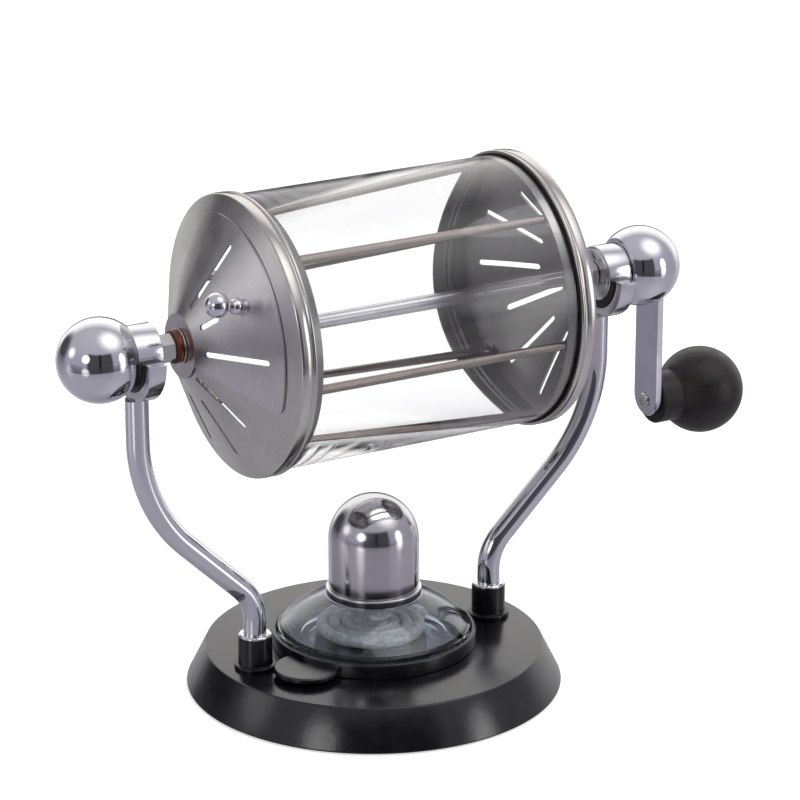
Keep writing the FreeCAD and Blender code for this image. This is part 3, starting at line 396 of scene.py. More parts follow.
def turned_steel(name, dark, bright, roughness, depth, centre, axis, rings=RINGS, sheet=False):
    """Steel brushed round an axis: noise squeezed to long thin arcs, in relief, roughness and tone. The
    shader's tangent follows the grain, so that highlights spread across it in a fan. A sheet gets painted
    shade: its colour is darkened inside the drum and on its edges."""
    material, tree, shader = new_material(name, dark, 1.0, roughness, Anisotropic=FAN)
    place = object_place(tree, centre)
    arcs = noise(tree, polar_place(tree, centre, axis), 1.0, (6, rings, rings), 3.0)
    clouds = noise(tree, place, CLOUD_SCALE, detail=3.0)
    tree.links.new(between(tree, clouds, roughness * 0.8, roughness * 1.25), shader.inputs["Roughness"])
    tone = calculate(tree, "MULTIPLY_ADD", arcs, ARC_SHARE, 0.0)
    tone = calculate(tree, "MULTIPLY_ADD", clouds, CLOUD_SHARE, tone)
    color = color_between(tree, tone, dark, bright)
    # Painted shade: inside the drum and on its edges, a sheet's colour is multiplied darker.
    if sheet:
        painted_shade = node(tree, "MixRGB", blend_type="MULTIPLY", Fac=1.0, Color1=color, Color2=PAINTED_INSIDE_SHADE)
        mixed = node(tree, "MixRGB", Fac=outward(tree), Color1=painted_shade.outputs[0], Color2=color)
        color = mixed.outputs[0]
    tree.links.new(color, shader.inputs["Base Color"])
    line = tuple(float(letter == axis) for letter in "XYZ")
    tree.links.new(vector(tree, "CROSS_PRODUCT", line, place), shader.inputs["Tangent"])
    relief(tree, shader, arcs, depth)
    return material


def steel(slot, *looks, centre=AXLE_LINE, axis="X", **options):
    """Turned steel kept under its slot's name: its two tones, its roughness, the grain's depth."""
    FINISHES[slot] = turned_steel(slot, *looks, centre, axis, **options)


# Colour, roughness, and the depth of the wave in metres.
PLATED = {
    "chrome": ((0.78, 0.775, 0.82), 0.045, 0.00001),
    "sleeve_steel": ((0.76, 0.755, 0.79), 0.09, 0.000008),
    "yoke_steel": ((0.72, 0.715, 0.755), 0.11, 0.00002),
    "arm_steel": ((0.66, 0.66, 0.73), 0.16, 0.00001),
    # The rods' darker, warmer colour is a painted reflection of the brownish dark they show.
    "rod_steel": ((0.38, 0.325, 0.295), 0.14, 0.00003),
    "axle_steel": ((0.74, 0.73, 0.76), 0.2, 0.00001),
    "zinc_steel": ((0.62, 0.63, 0.58), 0.22, 0.00003),
}
for slot, (color, roughness, wave) in PLATED.items():
    FINISHES[slot] = chrome(slot, color, roughness, wave)
# Darker and brighter tone, roughness, and the depth of the grain in metres.
# The two sheets below get painted shade inside the drum and on their edges.
steel("brushed_sheet", (0.56, 0.545, 0.53), (0.70, 0.68, 0.66), 0.30, 0.000003, sheet=True)
steel("door_sheet", (0.59, 0.575, 0.585), (0.76, 0.735, 0.735), 0.28, 0.000003, sheet=True)
steel("polished_rim", (0.54, 0.52, 0.49), (0.74, 0.71, 0.67), 0.15, 0.000003)
steel("washer_steel", (0.58, 0.57, 0.56), (0.72, 0.71, 0.69), 0.2, 0.000003)
steel("copper", (0.22, 0.065, 0.040), (0.42, 0.15, 0.09), 0.22, 0.000002)
steel("burner_plate", (0.60, 0.59, 0.60), (0.74, 0.73, 0.73), 0.16, 0.000002, centre=LAMP_LINE, axis="Z")
steel(
    "cap_steel", (0.60, 0.595, 0.62), (0.70, 0.69, 0.71), 0.13, 0.000002, centre=LAMP_LINE, axis="Z",
    rings=CAP_RINGS)
print("metals:", sorted(FINISHES))

# %% [markdown]
# The dark pieces are paint on a casting, moulded resin and rubber. Each is nearly black, so its
# surface is told by its sheen: an orange-peel ripple in the paint, a fine mottle in the resin. Glass
# needs no colour of its own beyond a faint tint, and the cotton of the wick is a soft, matt white.


# %% Dark finishes and glass
GLASS_IOR = 1.47
GLASS_SHADE = (0.86, 0.87, 0.87, 1)
STRAND_STRETCH = (9, 300, 500)


def mottled(slot, low, high, roughness, ripple, scale, ior=1.5):
    """Paint, resin or rubber between two tones, kept under its slot's name: a ripple in its relief,
    and a mottle in its colour and roughness."""
    material, tree, shader = new_material(slot, low, 0.0, roughness, IOR=ior)
    place = object_place(tree)
    mottle = noise(tree, place, scale)
    tree.links.new(color_between(tree, mottle, low, high), shader.inputs["Base Color"])
    tree.links.new(between(tree, mottle, roughness * 0.85, roughness * 1.2), shader.inputs["Roughness"])
    relief(tree, shader, noise(tree, place, scale * 4, detail=2.0), ripple)
    FINISHES[slot] = material


def clear_glass(slot, tint, ripple, scale):
    """Clear glass with a very shallow ripple, as on drawn or pressed glass. A ray that only asks for
    a shadow goes straight through a little dimmed, so that lamps reach what is inside."""
    material, tree, shader = new_material(slot, tint, 0.0, 0.0, Transmission_Weight=1.0, IOR=GLASS_IOR)
    relief(tree, shader, noise(tree, object_place(tree), scale, detail=1.0), ripple)
    shade = node(tree, "BsdfTransparent", Color=GLASS_SHADE)
    blocked = node(tree, "LightPath").outputs["Is Shadow Ray"]
    both = node(tree, "MixShader", i0=blocked, i1=shader.outputs[0], i2=shade.outputs[0])
    tree.links.new(both.outputs[0], tree.nodes["Material Output"].inputs["Surface"])
    FINISHES[slot] = material


def cotton(slot, low, high, fluff):
    """Matt cotton: fine strands that run round the wick, in colour and relief."""
    material, tree, shader = new_material(slot, low, 0.0, 0.9)
    strands = noise(tree, polar_place(tree, LAMP_LINE, "Z"), 1.0, STRAND_STRETCH, 3.0)
    tree.links.new(color_between(tree, strands, low, high), shader.inputs["Base Color"])
    relief(tree, shader, strands, fluff)
    FINISHES[slot] = material


# Darker and brighter tone, roughness, the ripple's depth in metres, the mottle's scale, and IOR.
mottled("black_casting", (0.003, 0.003, 0.004), (0.006, 0.006, 0.008), 0.19, 0.00003, 160, 1.65)
mottled("black_socket", (0.003, 0.003, 0.004), (0.007, 0.007, 0.008), 0.2, 0.00001, 160)
mottled("black_tray", (0.004, 0.004, 0.005), (0.009, 0.009, 0.010), 0.24, 0.00002, 160, 1.7)
mottled("pad_rubber", (0.020, 0.020, 0.021), (0.035, 0.035, 0.036), 0.75, 0.0001, 900)
mottled("gasket_black", (0.010, 0.010, 0.010), (0.018, 0.018, 0.018), 0.5, 0.00003, 700)
mottled("liner_black", (0.010, 0.011, 0.011), (0.020, 0.021, 0.021), 0.38, 0.00003, 500)
mottled("knob_resin", (0.004, 0.003, 0.002), (0.022, 0.014, 0.011), 0.42, 0.00004, 200)
mottled("fibre", (0.10, 0.030, 0.018), (0.20, 0.065, 0.035), 0.55, 0.00005, 1200)
clear_glass("drum_glass", (0.93, 0.935, 0.93), 0.000003, 30)
clear_glass("lamp_glass", (0.66, 0.70, 0.76), 0.00014, 60)
cotton("wick_cotton", (0.74, 0.72, 0.68), (0.97, 0.96, 0.93), 0.0004)
print("finishes:", len(FINISHES))

# %% [markdown]
# The base is a heavy casting under satin black paint. Its sides lean in, and a small round along the
# top edge catches a thin line of light all the way round.

# %% Base and pad
TOP_R = 67.1 * MM
TOP_ROUND = 0.9 * MM
HOLLOW_GAP = 0.2 * MM
HOLLOW_DEPTH = 1.7 * MM
PAD_DEPTH = 1.95 * MM
# Where the pad's grooves start, and the shape of one as (outwards, up).
GROOVES = np.arange(8, 68, 4) * MM
GROOVE_SHAPE = np.array([(0, 0), (0.2, 0.5), (1.0, 0.5), (1.2, 0)]) * MM
base_low, base_high = span("base_shell")
pad_low, pad_high = span("base_pad")
hollow_r = pad_high[0] + HOLLOW_GAP
hollow_z = base_low[2] + HOLLOW_DEPTH
base = turned_z("base_casting", [
    (0, base_high[2]), (TOP_R, base_high[2], TOP_ROUND), (base_high[0], base_low[2], 0.6 * MM),
    (hollow_r, base_low[2], 0.2 * MM), (hollow_r, hollow_z), (0, hollow_z),
], "stand", ["base_shell"], 192, closed=False)
finish(base, "black_casting")
pad_top = pad_low[2] + PAD_DEPTH
ribs = [(start + across, pad_low[2] + up) for start in GROOVES for across, up in GROOVE_SHAPE]
pad = turned_z("ribbed_pad", [
    (0, pad_low[2]), *ribs, (pad_high[0], pad_low[2], 0.3 * MM), (pad_high[0], pad_top), (0, pad_top),
], "stand", ["base_pad"], 96, closed=False)
finish(pad, "pad_rubber")

# %% [markdown]
# Each post is a round bar bent twice and plated. Its middle line is two straights and two arcs that
# meet without a kink; a circle is carried along it, square to the line, and the last circle is cut to
# the yoke's round so that the weld closes.


# %% Posts
POST_R = 4.5 * MM
POST_STRAIGHT = 19.8 * MM
LOW_BEND = 20 * MM
HIGH_BEND = 64 * MM
POST_LEAN = math.radians(46)


def post_line(reach, top):
    """Middle line of a post as (outwards, up): straight, arc, leaning straight, arc, straight."""
    leaning = (reach - (LOW_BEND + HIGH_BEND) * (1 - math.cos(POST_LEAN))) / math.sin(POST_LEAN)
    start = np.array([[0, 0], [0, POST_STRAIGHT * 0.5]])
    low = arc_points((LOW_BEND, POST_STRAIGHT), LOW_BEND, 180, 180 - math.degrees(POST_LEAN), 17)
    run = low[-1] + leaning * np.array([math.sin(POST_LEAN), math.cos(POST_LEAN)])
    centre = run + HIGH_BEND * np.array([-math.cos(POST_LEAN), math.sin(POST_LEAN)])
    high = arc_points(centre, HIGH_BEND, -math.degrees(POST_LEAN), 0, 25)
    return np.concatenate([start, low, high, [[reach, top]]])


def bar_along(line, radius, steps=48):
    """Circles square to a line that lies in the XZ plane, in (outwards, across, up)."""
    ahead = np.gradient(line, axis=0)
    ahead /= np.linalg.norm(ahead, axis=1)[:, None]
    aside = np.stack([ahead[:, 1], -ahead[:, 0]], 1)
    turn = full_turn(steps)
    out = line[:, None, 0] + radius * np.cos(turn)[None, :] * aside[:, None, 0]
    up = line[:, None, 1] + radius * np.cos(turn)[None, :] * aside[:, None, 1]
    across = np.broadcast_to(radius * np.sin(turn)[None, :], out.shape)
    return np.stack([out, across, up], -1)


def make_post(side):
    """One post, from the base's top to its yoke. Returns where its foot stands."""
    sign = SIDES[side]
    low, high = span(f"post_{side}")
    foot_x = (span(f"socket_{side}")[0][0] + span(f"socket_{side}")[1][0]) / 2
    top_x = (high[0] - POST_R) if sign > 0 else (low[0] + POST_R)
    bar = bar_along(post_line(abs(top_x - foot_x), high[2] - BASE_TOP), POST_R)
    bar[-1, :, 2] = AXIS_Z - BASE_TOP - np.sqrt(YOKE_R**2 - bar[-1, :, 1] ** 2)
    bar = bar * [sign, 1, 1] + [foot_x, 0, BASE_TOP]
    patches = [(bar, False, True), end_face(bar[0]), end_face(bar[-1])]
    finish(solid(f"bent_post_{side}", patches, "stand", [f"post_{side}"]), "chrome")
    return foot_x


print("posts: bar", 2 * POST_R, "m thick, leaning", round(math.degrees(POST_LEAN)), "degrees")

# %% [markdown]
# A post's foot stands in a black socket with a broad collar, and a plated ring closes the socket's
# mouth. Both are turned pieces with a bore a hair wider than the post.


# %% Foot sockets
SOCKET_R = 6.75 * MM
COLLAR_HEIGHT = 1.8 * MM
MOUTH_HEIGHT = 1.2 * MM
MOUTH_SEAT = 0.25 * MM
SOCKET_BORE = POST_R + 0.05 * MM
MOUTH_BORE = POST_R + 0.08 * MM


def make_socket(side, foot_x):
    """The socket round a post's foot, and the ring in its mouth."""
    low, high = span(f"socket_{side}")
    collar_r = (high[0] - low[0]) / 2
    height = high[2] - low[2]
    seat = height - MOUTH_HEIGHT
    place = {"x": foot_x, "z": BASE_TOP}
    socket = turned_z(f"foot_socket_{side}", [
        (SOCKET_BORE, 0), (collar_r, 0, 0.2 * MM), (collar_r, COLLAR_HEIGHT, 0.5 * MM),
        (SOCKET_R, COLLAR_HEIGHT, 0.3 * MM), (SOCKET_R, seat, 0.15 * MM), (SOCKET_R - MOUTH_SEAT, seat),
        (SOCKET_BORE, seat),
    ], "stand", [f"socket_{side}"], 96, **place)
    finish(socket, "black_socket")
    ring = turned_z(f"socket_mouth_ring_{side}", [
        (MOUTH_BORE, seat), (SOCKET_R - MOUTH_SEAT, seat, 0.15 * MM),
        (SOCKET_R - 0.3 * MM, height - 0.5 * MM, 0.3 * MM), (SOCKET_R - 0.85 * MM, height, 0.25 * MM),
        (MOUTH_BORE, height, 0.15 * MM),
    ], "stand", (), 96, **place)
    finish(ring, "sleeve_steel")


for side in SIDES:
    make_socket(side, make_post(side))

# %% [markdown]
# A yoke is half of a thick steel ring, open to the top so that the drum can be lifted out. A black
# heat-resistant liner sits in it, and the steel barrel on the drum's axle lies in the liner.


# %% Yokes, liners and sleeves
YOKE_BORE = 14 * MM
LINER_BORE = 11.1 * MM
SLEEVE_R = 11 * MM
SLEEVE_STEP_R = 9.6 * MM
SLEEVE_STEP = 0.5 * MM


def half_ring(name, source, inner, outer, bevel, slot):
    """A rounded rectangle carried half way round under the axle's line, closed with flat ends."""
    low, high = span(source)
    half = (high[0] - low[0]) / 2
    section = rounded([
        (-half, inner, bevel), (-half, outer, bevel), (half, outer, bevel), (half, inner, bevel)])
    swept = around_x(section, np.radians(np.linspace(-180, 0, 65)), (low[0] + high[0]) / 2)
    patches = [(swept, False, True), end_face(swept[0]), end_face(swept[-1])]
    finish(solid(name, patches, "stand", [source]), slot)


def make_saddle(side):
    """The yoke with its liner, and the bearing sleeve that lies in them."""
    half_ring(f"open_yoke_{side}", f"yoke_{side}", YOKE_BORE, YOKE_R, 0.5 * MM, "yoke_steel")
    half_ring(f"yoke_liner_{side}", f"saddle_liner_{side}", LINER_BORE, YOKE_BORE, 0.3 * MM, "liner_black")
    start, end = reach_out(f"bearing_sleeve_{side}")
    step = start + SLEEVE_STEP
    sleeve = turned_x(f"barrel_{side}", [
        (start, HUB_BORE), (start, SLEEVE_STEP_R, 0.3 * MM), (step, SLEEVE_STEP_R, 0.15 * MM),
        (step, SLEEVE_R, 0.5 * MM), (end, SLEEVE_R, 0.5 * MM), (end, HUB_BORE),
    ], "bearings", [f"bearing_sleeve_{side}"], 128, side=SIDES[side])
    finish(sleeve, "sleeve_steel")


for side in SIDES:
    make_saddle(side)

# %% [markdown]
# The drum's glass is a tube with polished ends. It needs its real wall: light bends on its way in and
# out, and the dark lines along the edges of real glass come from that, not from any drawn outline.

# %% Glass tube
GLASS_ROUND = 0.3 * MM
glass_half = (GLASS_HIGH[0] - GLASS_LOW[0]) / 2
glass_inner = GLASS_R - GLASS_WALL
glass = turned_x("glass_tube", [
    (-glass_half, glass_inner, GLASS_ROUND), (-glass_half, GLASS_R, GLASS_ROUND),
    (glass_half, GLASS_R, GLASS_ROUND), (glass_half, glass_inner, GLASS_ROUND),
], "drum", ["glass_cylinder"], 256)
finish(glass, "drum_glass")

# %% [markdown]
# A steel ring is rolled round each end of the drum. Its section has two low beads with a groove
# between, each bead half an ellipse. A black seal fills the gap between the ring and the glass.


# %% Rims and seals
RIM_LIP = 0.9 * MM
RIM_WALL = 1.0 * MM
WIDE_CROWN = 0.36 * MM
NARROW_CROWN = 0.4 * MM
NARROW_BEAD = 1.8 * MM
FACE_INSET = 0.15 * MM
GROOVE_DEPTH = 0.6 * MM
GROOVE_HALF = 0.15 * MM
GROOVE_MOUTH = 0.4 * MM
SEAL_GAP = 0.05 * MM
SEAL_LAP = 0.4 * MM


def bead(start, end, crown, count=9):
    """A low round bead from one place along the axle to another, its top at the rim's radius."""
    turn = np.linspace(0, math.pi, count)
    along = start + (end - start) * (1 - np.cos(turn)) / 2
    return np.stack([along, RIM_R - crown + crown * np.sin(turn)], 1)


def make_rim(side):
    """The rolled ring round one end, a wide bead next to the cone's edge, and the seal in it."""
    inner_edge, outer_face = reach_out(f"{side}_rim_ring")
    groove = inner_edge + NARROW_BEAD
    lip = outer_face - RIM_LIP
    ring = turned_x(f"rolled_rim_{side}", np.concatenate([
        [[lip, CONE_R], [outer_face, CONE_R]],
        bead(outer_face - FACE_INSET, groove + GROOVE_MOUTH, WIDE_CROWN, 17),
        [[groove + GROOVE_HALF, RIM_R - GROOVE_DEPTH], [groove - GROOVE_HALF, RIM_R - GROOVE_DEPTH]],
        bead(groove - GROOVE_MOUTH, inner_edge, NARROW_CROWN),
        [[inner_edge, RIM_R - RIM_WALL], [lip, RIM_R - RIM_WALL]],
    ]), "drum", [f"{side}_rim_ring"], 256, side=SIDES[side])
    finish(ring, "polished_rim")
    lip_end, end_place = reach_out(f"{side}_gasket")
    inner, outer = glass_inner + SEAL_LAP, GLASS_R + SEAL_GAP
    seal = turned_x(f"{side}_seal", [
        (end_place, inner), (end_place, RIM_R - RIM_WALL), (lip_end, RIM_R - RIM_WALL, 0.2 * MM),
        (lip_end, outer), (glass_half, outer), (glass_half, inner),
    ], "drum", [f"{side}_gasket"], 192, side=SIDES[side])
    finish(seal, "gasket_black")


for side in SIDES:
    make_rim(side)

# %% [markdown]
# The ends are cones spun from thin steel sheet, pierced by vent slots. A boolean would cut the slots,
# but it leaves poor shading. Here the sheet is built round each slot instead: the slot's edge and the
# edge of its sector are two loops with the same number of points, and rows of points fill the gap
# between them. Bent on to the cone, these patches weld into one sheet with true, thin slot walls.


# %% Sheets with holes
SLOT_WIDTH = 2.2 * MM
CROWDING = 1.3


def spread(count):
    """Numbers from 0 to 1, closer together at both ends."""
    return (1 - np.cos(np.linspace(0, math.pi, count))) / 2


def sector_loop(angles, inner, outer, side_points=14):
    """The border of a sector as (angle, radius): inner arc, far side, outer arc, near side.
    The outer radius may be an array, one for each angle, which gives round corners."""
    outer = np.broadcast_to(outer, angles.shape)
    up = spread(side_points)[1:-1]
    near = inner + (outer[0] - inner) * up
    far = inner + (outer[-1] - inner) * up
    angle = np.concatenate([
        angles, np.full(len(up), angles[-1]), angles[::-1], np.full(len(up), angles[0])])
    radius = np.concatenate([np.full(len(angles), inner), far, outer[::-1], near[::-1]])
    return np.stack([angle, radius], 1)


def slot_loop(middle, count, inner, outer, side_points=14):
    """The edge of a slot with round ends, with as many points as the sector's border round it."""
    half = SLOT_WIDTH / 2
    turn = np.linspace(-math.pi, 0, count)
    foot = np.stack([half * np.cos(turn), inner + half + half * np.sin(turn)], 1)
    top = np.stack([half * np.cos(-turn[::-1]), outer - half + half * np.sin(-turn[::-1])], 1)
    up = inner + half + (outer - inner - 2 * half) * spread(side_points)[1:-1]
    far = np.stack([np.full(len(up), half), up], 1)
    near = np.stack([np.full(len(up), -half), up[::-1]], 1)
    across, along = np.concatenate([foot, far, top, near]).T
    return np.stack([middle + np.arctan2(across, along), np.hypot(across, along)], 1)


def flat_place(loop):
    """A loop of (angle, radius) as places across the drum: (-r cos a, r sin a)."""
    angle, radius = loop[:, 0], loop[:, 1]
    return np.stack([-radius * np.cos(angle), radius * np.sin(angle)], 1)


def cone_place(flat, height, sign):
    """Lifts places across the drum on to the cone: along = height - slope * (radius - hub)."""
    radius = np.hypot(flat[..., 0], flat[..., 1])
    along = height - SLOPE * np.maximum(radius - HUB_R, 0)
    return np.stack([DRUM_X + sign * along, flat[..., 0], AXIS_Z + flat[..., 1]], -1)


def fill_between(hole, border, rows=9):
    """Rows of places from a hole's edge to its border, closer together near the hole."""
    fill = np.linspace(0, 1, rows)[:, None, None] ** CROWDING
    return flat_place(hole)[None] * (1 - fill) + flat_place(border)[None] * fill


def pierced_sheet(hole, outer_border, inner_border, height, wall, sign):
    """Both faces of a sheet from a hole's edge to its borders, and the wall of the hole."""
    outside = cone_place(fill_between(hole, outer_border), height, sign)
    inside = cone_place(fill_between(hole, inner_border), height - wall, sign)
    return [(outside, False, True), (inside, False, True), (np.stack([outside[0], inside[0]]), False, True)]


def profile_patch(profile, angles, sign):
    """A stretch of profile (along, radius) carried through the angles of one sector."""
    return (around_x(profile * [sign, 1], angles), False, False)


def hub_ring(height, bore, wall):
    """The section of a sheet's flat hub: from the cone in to the bore and back."""
    return np.array([[height, HUB_R], [height, bore], [height - wall, bore], [height - wall, HUB_R]])


# %% [markdown]
# Both end caps share one section: the cone, a fold at the glass, a skirt inside the glass with two
# rolled ridges, and a flat hub round the axle. The right cap has thirteen slots all round, and every
# third one lies nearer to the hub. The left cap has six, and a wide opening for the beans, which the
# door covers.


# %% End caps
CAP_WALL = 0.9 * MM
SKIRT_WALL = 0.9 * MM
SKIRT_GAP = 0.5 * MM
SKIRT_LENGTH = 10.8 * MM
FOLD_DEPTH = 0.9 * MM
RIDGE_HEIGHT = 0.5 * MM
# Where the ridges start along the skirt, and the shape of one as (along, share of its height).
RIDGE_STARTS = (3.4 * MM, 5.5 * MM)
RIDGE_SHAPE = ((0, 0), (0.5 * MM, 1), (1.0 * MM, 1), (1.5 * MM, 0))


def cap_sections(side):
    """The stretches of an end cap's section that have no holes: the hub, and the fold with the skirt."""
    height = reach_out(f"{side}_end_cap")[1]
    edge = height - CONE_DEPTH
    fold = edge - FOLD_DEPTH
    skirt_outer = glass_inner - SKIRT_GAP
    skirt_inner = skirt_outer - SKIRT_WALL
    skirt_end = edge - SKIRT_LENGTH
    inner_edge = height - CAP_WALL - SLOPE * (skirt_inner - HUB_R)
    ridges = [(skirt_end + start + along, skirt_inner - up * RIDGE_HEIGHT, 0.25 * MM)
              for start in RIDGE_STARTS for along, up in RIDGE_SHAPE]
    skirt = rounded([
        (edge, CONE_R), (fold, CONE_R, 0.15 * MM), (fold, skirt_outer, 0.2 * MM),
        (skirt_end, skirt_outer, 0.4 * MM), (skirt_end, skirt_inner, 0.4 * MM), *ridges,
        (inner_edge, skirt_inner)], closed=False)
    return height, hub_ring(height, HUB_BORE, CAP_WALL), skirt, skirt_inner


def cap_sector(low, high, count, hole, height, skirt_inner, sign):
    """Patches of one sector of an end cap: both faces of the sheet, round the hole if there is one."""
    angles = np.radians(np.linspace(low, high, count))
    if hole is None:
        radii = HUB_R + (CONE_R - HUB_R) * spread(14)
        grid = np.stack(np.meshgrid(angles, radii, indexing="ij"), -1).reshape(-1, 2)
        outside = flat_place(grid).reshape(count, -1, 2)
        grid[:, 1] = np.minimum(grid[:, 1], skirt_inner)
        inside = flat_place(grid).reshape(count, -1, 2)
        return [(cone_place(outside, height, sign), False, False),
                (cone_place(inside, height - CAP_WALL, sign), False, False)]
    border = sector_loop(angles, HUB_R, CONE_R)
    inner_border = np.column_stack([border[:, 0], np.minimum(border[:, 1], skirt_inner)])
    return pierced_sheet(hole, border, inner_border, height, CAP_WALL, sign)


def make_cap(side, sectors):
    """An end cap from sectors of (low angle, high angle, number of steps, hole), in degrees."""
    sign = SIDES[side]
    height, hub, skirt, skirt_inner = cap_sections(side)
    patches = []
    for low, high, count, hole in sectors:
        angles = np.radians(np.linspace(low, high, count))
        patches += cap_sector(low, high, count, hole, height, skirt_inner, sign)
        patches += [profile_patch(hub, angles, sign), profile_patch(skirt, angles, sign)]
    cap = solid(f"conical_end_{side}", patches, "drum", [f"{side}_end_cap"], sharp=24)
    finish(cap, "brushed_sheet")


# Places round the drum are in degrees, from the front towards the top.
SLOT_INNER = 13.8 * MM
SLOT_OUTER = 37.4 * MM
SLOT_STEP = 7.8 * MM
SLOT_COUNT = 13
SLOT_PITCH = 360 / SLOT_COUNT
LEFT_SLOT = -47
RIGHT_SLOT = 294.9
DOOR_MIDDLE = 37.8
OPENING_SPAN = 104
OPENING_INNER = 14.5 * MM
OPENING_OUTER = 44.5 * MM


def vent_sectors(first, steps, count=17):
    """Sectors of one slot pitch with a slot in the middle, a step further out where steps says 1."""
    sectors = []
    for index, step in enumerate(steps):
        middle = first - SLOT_PITCH * index
        ends = (SLOT_INNER + step * SLOT_STEP, SLOT_OUTER + step * SLOT_STEP)
        hole = slot_loop(math.radians(middle), count, *ends)
        sectors.append((middle - SLOT_PITCH / 2, middle + SLOT_PITCH / 2, count, hole))
    return sectors


low_end = LEFT_SLOT + SLOT_PITCH / 2
high_end = 2 * DOOR_MIDDLE - low_end
opening_angles = np.radians(DOOR_MIDDLE + OPENING_SPAN * np.linspace(-0.5, 0.5, 81))
opening = sector_loop(opening_angles, OPENING_INNER, OPENING_OUTER)
make_cap("right", vent_sectors(RIGHT_SLOT, [0, 1, 1] * 4 + [1]))
make_cap("left", [
    *vent_sectors(LEFT_SLOT, [0, 1, 1] * 2),
    (low_end, high_end, 81, opening),
    (high_end, LEFT_SLOT - 5.5 * SLOT_PITCH + 360, 17, None),
])

# %% [markdown]
# The door is a sector of the same cone, a little outside the cap, on a ring that turns on the bush.
# Its two outer corners are round: near them the outer radius follows a small arc, so the border of
# the sheet simply takes a radius for each angle.

# %% Bean door
DOOR_R = 48.3 * MM
DOOR_SPAN = 119
DOOR_CORNER = 3 * MM
DOOR_SHEET = 0.8 * MM
# The door's slots by their turn from its middle, with the radius at which each ends.
DOOR_SLOTS = {-34.4: 42.5 * MM, 0: 25 * MM, 34.4: 42.5 * MM}
DOOR_SLOT_INNER = 16.5 * MM
DOOR_BORE = 5.06 * MM
SLOT_BORDER = 17.2
door_height = reach_out("bean_door")[1]


def door_edge(angles, low, high):
    """Outer radius of the door at each angle: constant, and an arc near either side."""
    circle = DOOR_R - DOOR_CORNER
    inset = math.asin(DOOR_CORNER / circle)
    off = np.maximum(inset - np.minimum(angles - low, high - angles), 0)
    arc = circle * np.cos(off) + np.sqrt(np.maximum(DOOR_CORNER**2 - (circle * np.sin(off)) ** 2, 0))
    return np.where(off > 0, arc, DOOR_R)


def edge_patch(loop, height, wall, sign):
    """The thin edge of a sheet along a line of (angle, radius)."""
    flat = flat_place(loop)
    return (np.stack([cone_place(flat, height, sign), cone_place(flat, height - wall, sign)]), False, False)


low, high = (math.radians(DOOR_MIDDLE + DOOR_SPAN * end) for end in (-0.5, 0.5))
ends = [low, *(math.radians(DOOR_MIDDLE + turn) for turn in (-SLOT_BORDER, SLOT_BORDER)), high]
door_patches = []
hub_angles = []
for start, end, (turn, slot_end) in zip(ends[:-1], ends[1:], DOOR_SLOTS.items()):
    angles = start + (end - start) * spread(41)
    reach = door_edge(angles, low, high)
    hole = slot_loop(math.radians(DOOR_MIDDLE + turn), 41, DOOR_SLOT_INNER, slot_end)
    border = sector_loop(angles, HUB_R, reach)
    door_patches += pierced_sheet(hole, border, border, door_height, DOOR_SHEET, -1)
    door_patches.append(edge_patch(np.column_stack([angles, reach]), door_height, DOOR_SHEET, -1))
    hub_angles.append(angles)
for side_angle in (low, high):
    radii = HUB_R + (door_edge(np.array([side_angle]), low, high)[0] - HUB_R) * spread(14)
    loop = np.column_stack([np.full(len(radii), side_angle), radii])
    door_patches.append(edge_patch(loop, door_height, DOOR_SHEET, -1))
open_angles = np.linspace(high, low + 2 * math.pi, 61)
ring = hub_ring(door_height, DOOR_BORE, DOOR_SHEET)
door_patches += [profile_patch(ring, angles, -1) for angles in (*hub_angles, open_angles)]
door_patches.append(profile_patch(ring[[0, 3]], open_angles, -1))
door = solid("door_leaf", door_patches, "door", ["bean_door"], sharp=24)
finish(door, "door_sheet")

# %% [markdown]
# The door's knob is turned from bar: a bead, a waist and a ball. It stands square to the cone, so its
# profile goes round a line that leans with the sheet.


# %% Door knob
def around_line(profile, foot, ahead, steps=64):
    """Carries a profile (along, radius) round the line from foot in the direction ahead."""
    ahead = np.array(ahead) / np.linalg.norm(ahead)
    first = np.cross(ahead, [1, 0, 0])
    first /= np.linalg.norm(first)
    second = np.cross(ahead, first)
    turn = full_turn(steps)[:, None, None]
    along, radius = profile[None, :, :1], profile[None, :, 1:]
    return np.array(foot) + along * ahead + radius * (np.cos(turn) * first + np.sin(turn) * second)


KNOB_PLACE = 34.5 * MM
KNOB_SUNK = 0.6 * MM
BEAD_R = 3.2 * MM
BEAD_MIDDLE = 2.0 * MM
STEM_R = 1.7 * MM
STEM_FLARE = STEM_R * 1.15
STEM_GAP = 0.4 * MM
KNOB_BALL_R = 4.8 * MM
KNOB_BALL_MIDDLE = 13.1 * MM
tilt = math.atan(SLOPE)
knob_turn = math.radians(DOOR_MIDDLE)
knob_axis = [-math.cos(tilt), -math.sin(tilt) * math.cos(knob_turn), math.sin(tilt) * math.sin(knob_turn)]
knob_foot = cone_place(flat_place(np.array([[knob_turn, KNOB_PLACE]])), door_height, -1)[0]
bead_start = math.degrees(math.acos(-BEAD_MIDDLE / BEAD_R))
bead_end = math.degrees(math.asin(STEM_FLARE / BEAD_R))
ball_start = 180 - math.degrees(math.asin(STEM_FLARE / KNOB_BALL_R))
pull_profile = np.concatenate([
    [[-KNOB_SUNK, 0], [-KNOB_SUNK, STEM_R]],
    arc_points((BEAD_MIDDLE, 0), BEAD_R, bead_start, bead_end, 17),
    [[BEAD_MIDDLE + BEAD_R, STEM_R], [KNOB_BALL_MIDDLE - KNOB_BALL_R - STEM_GAP, STEM_R]],
    arc_points((KNOB_BALL_MIDDLE, 0), KNOB_BALL_R, ball_start, 0, 33),
])
pull_grid = around_line(pull_profile, knob_foot, knob_axis)
finish(solid("door_pull", [(pull_grid, True, False)], "door", ["door_knob"]), "chrome")
